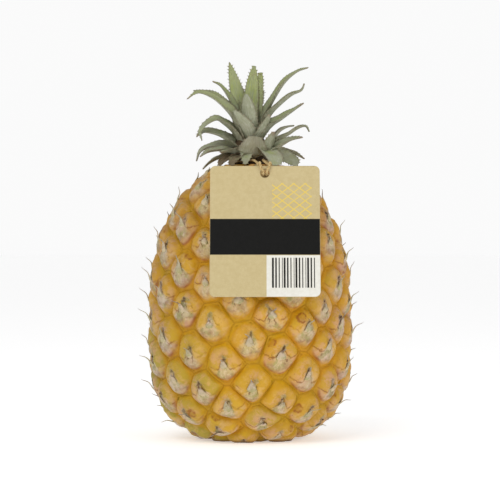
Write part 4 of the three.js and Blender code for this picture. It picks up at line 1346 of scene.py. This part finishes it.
def bract_material():
    m = Material("bract_paper")
    along, across, tone = map(m.attribute, ("blade_t", "blade_x", "blade_tone"))
    fibre = m.noise(26, 4, 0.6, vector=m.combine(across, along * 0.12, tone * 9))
    mottled, patchy = m.noise(520, 4), m.noise(210, 4, 0.6, 0.3)
    flesh = m.mix(m.ramp(patchy, 0.4, 0.58), (178, 170, 118), (210, 192, 156))
    paper = m.mix(m.ramp(tone, 0.2, 0.8), (170, 162, 122), (200, 178, 150))
    paper = m.mix(m.ramp(fibre, 0.42, 0.68), paper, (220, 202, 180))
    paper = m.mix(m.ramp(mottled, 0.5, 0.7) * 0.6, paper, (150, 128, 92))
    colour = m.mix(m.ramp(along, 0.15, 0.4), flesh, paper)
    dark = m.mix(m.ramp(fibre, 0.4, 0.7), (96, 68, 50), (146, 120, 98))
    stained = m.ramp(mottled, 0.3, 0.55, 0.3, 0.9) * m.ramp(tone, 0.2, 0.9, 0.1, 1.0)
    colour = m.mix(m.ramp(along, 0.46, 0.58) * stained, colour, dark)
    grey = m.mix(m.ramp(fibre, 0.35, 0.65), (150, 142, 132), (186, 176, 164))
    colour = m.mix(m.ramp(along, 0.6, 0.78), colour, grey)
    m.bump(fibre + mottled * 0.4, 0.0004, 0.8)
    return m.finish(colour, m.ramp(fibre, 0.3, 0.7, 0.6, 0.82), Specular_IOR_Level=0.3)


def flower_material():
    m = Material("withered_flower")
    mottled = m.noise(900, 4)
    colour = m.mix(m.ramp(mottled, 0.35, 0.62), (84, 60, 46), (128, 96, 76))
    colour = m.mix(m.ramp(m.attribute("blade_t"), 0.5, 1.0) * 0.7, colour, (128, 94, 74))
    m.bump(mottled, 0.0004, 0.9)
    return m.finish(colour, m.ramp(mottled, 0.3, 0.7, 0.65, 0.9), Specular_IOR_Level=0.25)


def leaf_material():
    m = Material("leaf_blade")
    across, along, top = map(m.attribute, ("leaf_x", "leaf_s", "leaf_top"))
    tone, dry, tooth = map(m.attribute, ("leaf_tone", "leaf_dry", "leaf_tooth"))
    seed = tone * 13
    vein = m.noise(30, 3, 0.6, vector=m.combine(across, along * 0.25, seed))
    stripe = m.noise(9, 3, 0.5, vector=m.combine(across, along * 0.9, seed))
    mottled, fine = m.noise(240, 4, 0.6), m.noise(1300, 4, 0.6)
    green = m.mix(m.ramp(tone, 0.2, 0.8), (146, 156, 112), (164, 170, 122))
    # Higher leaves are yellower and fresher green, partly painted highlight on the top of the crown
    high = m.ramp(m.separate(m.places)[2], 0.165, 0.2)
    green = m.mix(m.ramp(along, 0.15, 0.7) * (0.2 + high * 0.6), green, (168, 178, 102))
    fresh = m.ramp(m.noise(70, 2, 0.5, 0.5), 0.5, 0.66) * (0.25 + high * 0.45)
    green = m.mix(fresh, green, (150, 162, 78))
    green = m.mix(m.ramp(stripe, 0.45, 0.68), green, (148, 156, 120))
    bloom = m.mix(m.ramp(vein, 0.4, 0.62), (184, 186, 164), (158, 162, 136))
    under = m.mix(m.ramp(vein + mottled * 0.4, 0.55, 0.8), (184, 184, 162), (150, 154, 124))
    dusted = m.ramp(mottled, 0.25, 0.6) * (0.9 - high * 0.6)
    colour = m.mix(dusted, green, bloom)
    colour = m.mix(m.ramp(top, 0.45, 0.55), under, colour)
    # Dull brown along the margins and teeth, and at the dried tips
    margin = m.ramp(abs(across) + (mottled - 0.5) * 0.3, 0.8, 0.97)
    colour = m.mix(margin * 0.5, colour, (136, 126, 104))
    colour = m.mix(m.ramp(tooth, 0.15, 0.7), colour, (146, 134, 108))
    tips = m.ramp(along + (dry * 0.16 + (stripe - 0.5) * 0.2), 0.97, 1.1)
    colour = m.mix(tips * 0.8, colour, (150, 128, 104))
    dusky = m.ramp(m.noise(60, 3, 0.6, 0.5), 0.42, 0.62) * (0.5 - high * 0.4)
    colour = m.mix(dusky, colour, (150, 142, 122))
    scars = m.ramp(m.noise(90, 4, 0.6, 0.8), 0.62, 0.7) * 0.4
    colour = m.mix(scars, colour, (134, 116, 88))
    # The lowest leaves are withered, their dark brown partly painted shade under the crown; the rest
    # get painted shade at their base, inside the crown
    worn = m.attribute("leaf_worn") * m.ramp(mottled, 0.3, 0.55, 0.6, 1.0)
    husk_and_shade = m.mix(m.ramp(stripe, 0.4, 0.62), (98, 80, 58), (132, 116, 88))
    colour = m.mix(worn, colour, husk_and_shade)
    colour = m.mix(m.ramp(along, 0.16, 0.0) * 0.7, colour, (116, 98, 70))
    m.bump(vein + fine * 0.3, 0.0005, 0.8)
    return m.finish(colour, m.ramp(mottled, 0.3, 0.7, 0.48, 0.66), Specular_IOR_Level=0.35)


def neck_material():
    m = Material("crown_neck_scales_shaded")
    across, dry = map(m.attribute, ("leaf_x", "leaf_dry"))
    fibre, mottled = m.noise(16, 4, 0.6, vector=m.combine(across, dry, 0.0)), m.noise(420, 4)
    # Dark brown of the dried scales and stem, made darker as painted shade under the crown's leaves
    colour = m.mix(m.ramp(mottled, 0.35, 0.65), (62, 48, 36), (92, 74, 52))
    colour = m.mix(m.ramp(fibre, 0.45, 0.7) * 0.5, colour, (116, 100, 74))
    colour = m.mix(m.ramp(dry, 0.6, 1.0) * 0.4, colour, (104, 106, 64))
    m.bump(fibre + mottled * 0.5, 0.0006, 0.8)
    return m.finish(colour, m.ramp(mottled, 0.3, 0.7, 0.6, 0.85), Specular_IOR_Level=0.25)


def stalk_material():
    m = Material("cut_stalk")
    fibres, rings = m.spots(900)[0], m.noise(160, 4)
    colour = m.mix(m.ramp(rings, 0.35, 0.65), (206, 178, 122), (182, 146, 90))
    colour = m.mix(m.ramp(fibres, 0.3, 0.1, 0.0, 0.7), colour, (122, 86, 48))
    colour = m.mix(m.ramp(m.noise(60, 3), 0.5, 0.7, 0.0, 0.6), colour, (120, 88, 52))
    m.bump(fibres + rings, 0.0006, 0.8)
    return m.finish(colour, m.ramp(rings, 0.3, 0.7, 0.75, 0.95))


def card_material():
    m = Material("printed_card")
    x, y, front = map(m.attribute, ("card_x", "card_y", "card_front"))
    grain, fibre = m.noise(420, 4, 0.6), m.noise(2600, 3, 0.6)
    paper = m.mix(m.ramp(grain, 0.3, 0.7), (199, 182, 137), (193, 175, 129))
    paper = m.mix(m.ramp(fibre, 0.5, 0.75, 0.0, 0.3), paper, (220, 206, 166))

    def within(value, ends, soft=0.08):
        low, high = ends
        return m.ramp(value, low - soft, low + soft) * m.ramp(value, high + soft, high - soft)

    # A plain lattice in pale ink over the upper right of the card
    lines = [
        m.ramp(m.math("PINGPONG", slant, LATTICE_PITCH), 0.55, 0.4)
        for slant in (x + y * LATTICE_SLOPE, x - y * LATTICE_SLOPE)
    ]
    lattice = m.math("MAXIMUM", *lines) * (within(x, LATTICE[0]) * within(y, LATTICE[1]))
    paper = m.mix(lattice * m.ramp(grain, 0.25, 0.6, 0.55, 0.95), paper, (226, 198, 92))
    band_ink = m.mix(m.ramp(fibre, 0.45, 0.8, 0.0, 0.5), (17, 17, 16), (30, 29, 27))
    paper = m.mix(within(y, BAND_UP), paper, band_ink)
    panel = within(x, PANEL[0]) * within(y, PANEL[1])
    white = m.mix(m.ramp(grain, 0.3, 0.7), (232, 230, 221), (224, 221, 210))
    paper = m.mix(panel, paper, white)
    # Plain bars of uneven width
    gap = 0.55 + m.math("SINE", x * 2.9) * 0.22
    bars = m.math("GREATER_THAN", m.math("FRACT", x * 0.62), gap)
    paper = m.mix(bars * (within(x, BARS[0]) * within(y, BARS[1])), paper, (34, 32, 30))
    plain = m.mix(m.ramp(grain, 0.3, 0.7), (206, 192, 152), (196, 180, 138))
    colour = m.mix(m.ramp(front, 0.9, 0.98), plain, paper)
    # The paper is a little worn round the hole
    up = y - (TAG_HEIGHT / 2 - TAG_HOLE_DROP)
    away = m.math("SQRT", x * x + up * up)
    colour = m.mix(m.ramp(away, 3.0, 2.4, 0.0, 0.6), colour, (128, 98, 56))
    m.bump(grain + fibre * 0.6, 0.00025, 0.6)
    return m.finish(colour, m.ramp(grain, 0.3, 0.7, 0.5, 0.62), Specular_IOR_Level=0.12)


def twine_material():
    m = Material("twine_fibre")
    around, along = map(m.attribute, ("twine_a", "twine_l"))
    fibre = m.noise(3.2, 4, 0.6, vector=m.combine(around * 0.8, along * 0.6, 0.0))
    mottled = m.noise(700, 4)
    colour = m.mix(m.ramp(fibre, 0.35, 0.65), (222, 200, 150), (188, 156, 98))
    colour = m.mix(m.ramp(mottled, 0.5, 0.75, 0.0, 0.5), colour, (150, 116, 68))
    m.bump(fibre + mottled * 0.5, 0.0003, 0.9)
    return m.finish(colour, m.ramp(fibre, 0.3, 0.7, 0.75, 0.92), Specular_IOR_Level=0.2)


def floor_material():
    m = Material("studio_floor")
    speck = m.noise(300, 3)
    colour = m.mix(m.ramp(speck, 0.3, 0.7), (246, 246, 246), (243, 243, 243))
    m.shader.inputs["Emission Color"].default_value = (1.0, 1.0, 1.0, 1.0)
    return m.finish(colour, m.ramp(speck, 0.3, 0.7, 0.8, 0.9), Emission_Strength=FLOOR_GLOW)


# ---- the model ----

directions = eye_directions()
cells = eye_cells(directions)
rind = fruit_skin(directions, cells)
dress(rind, rind_material(), "rind", "fruit")
bracts, flowers = fruit_bracts(directions)
dress(bracts, bract_material(), "rind", "fruit")
dress(flowers, flower_material(), "rind", "fruit")
leaves, neck = make_crown()
dress(leaves, leaf_material(), "leaf", "crown")
dress(neck, neck_material(), "leaf", "crown")
card_place = tag_frame()
card = make_tag(card_place)
dress(card, card_material(), "card", "tag")
twine = make_cord(card_place)
dress(twine, twine_material(), "cord", "tag_tie")
dress(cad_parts["stem_stub"], stalk_material(), "stalk")


# ---- studio ----

CAMERA_DISTANCE = 1.15
CAMERA_HEIGHT = 0.109
FRAME_WIDTH = 0.29
SENSOR_WIDTH = 36
STUDIO_GLOW = 0.6
FLOOR_GLOW = 0.4
BACKDROP_GLOW = 0.96
FLOOR_RADIUS = 40
FLOOR_SIDES = 72
LIGHT_SIZE = 0.9
LIGHT_AIM = (0, 0, 0.1)
LIGHTS = {"key": ((-0.5, -1.0, 1.1), 6), "fill": ((0.9, -0.9, 0.5), 2.5)}

floor_mesh = bpy.data.meshes.new("studio_floor")
turns = [2 * math.pi * side / FLOOR_SIDES for side in range(FLOOR_SIDES)]
rim = [(FLOOR_RADIUS * math.cos(turn), FLOOR_RADIUS * math.sin(turn), 0) for turn in turns]
floor_mesh.from_pydata(rim, [], [list(range(len(rim)))])
floor_mesh.materials.append(floor_material())
add_object("studio_floor", floor_mesh)

# The backdrop is brighter to the camera than it is as a light
world = bpy.data.worlds.new("studio")
bpy.context.scene.world = world
world.use_nodes = True
nodes, links = world.node_tree.nodes, world.node_tree.links
ray, strength = nodes.new("ShaderNodeLightPath"), nodes.new("ShaderNodeMapRange")
strength.inputs["To Min"].default_value = STUDIO_GLOW
strength.inputs["To Max"].default_value = BACKDROP_GLOW
links.new(ray.outputs["Is Camera Ray"], strength.inputs["Value"])
links.new(strength.outputs[0], nodes["Background"].inputs["Strength"])
nodes["Background"].inputs["Color"].default_value = (1.0, 1.0, 1.0, 1.0)
bpy.context.scene.view_settings.view_transform = "Standard"

for name, (location, power) in LIGHTS.items():
    light = bpy.data.lights.new(name, "AREA")
    light.shape = "DISK"
    light.size = LIGHT_SIZE
    light.energy = power
    lamp = add_object(name, light)
    lamp.location = location
    x, y, z = np.subtract(location, LIGHT_AIM)
    lamp.rotation_euler = (math.atan2(math.hypot(x, y), z), 0, math.atan2(x, -y))

camera_data = bpy.data.cameras.new("camera")
camera_data.sensor_width = SENSOR_WIDTH
camera_data.lens = SENSOR_WIDTH * CAMERA_DISTANCE / FRAME_WIDTH
camera = add_object("camera", camera_data)
camera.location = (0, -CAMERA_DISTANCE, CAMERA_HEIGHT)
camera.rotation_euler = (math.pi / 2, 0, 0)
bpy.context.scene.camera = camera
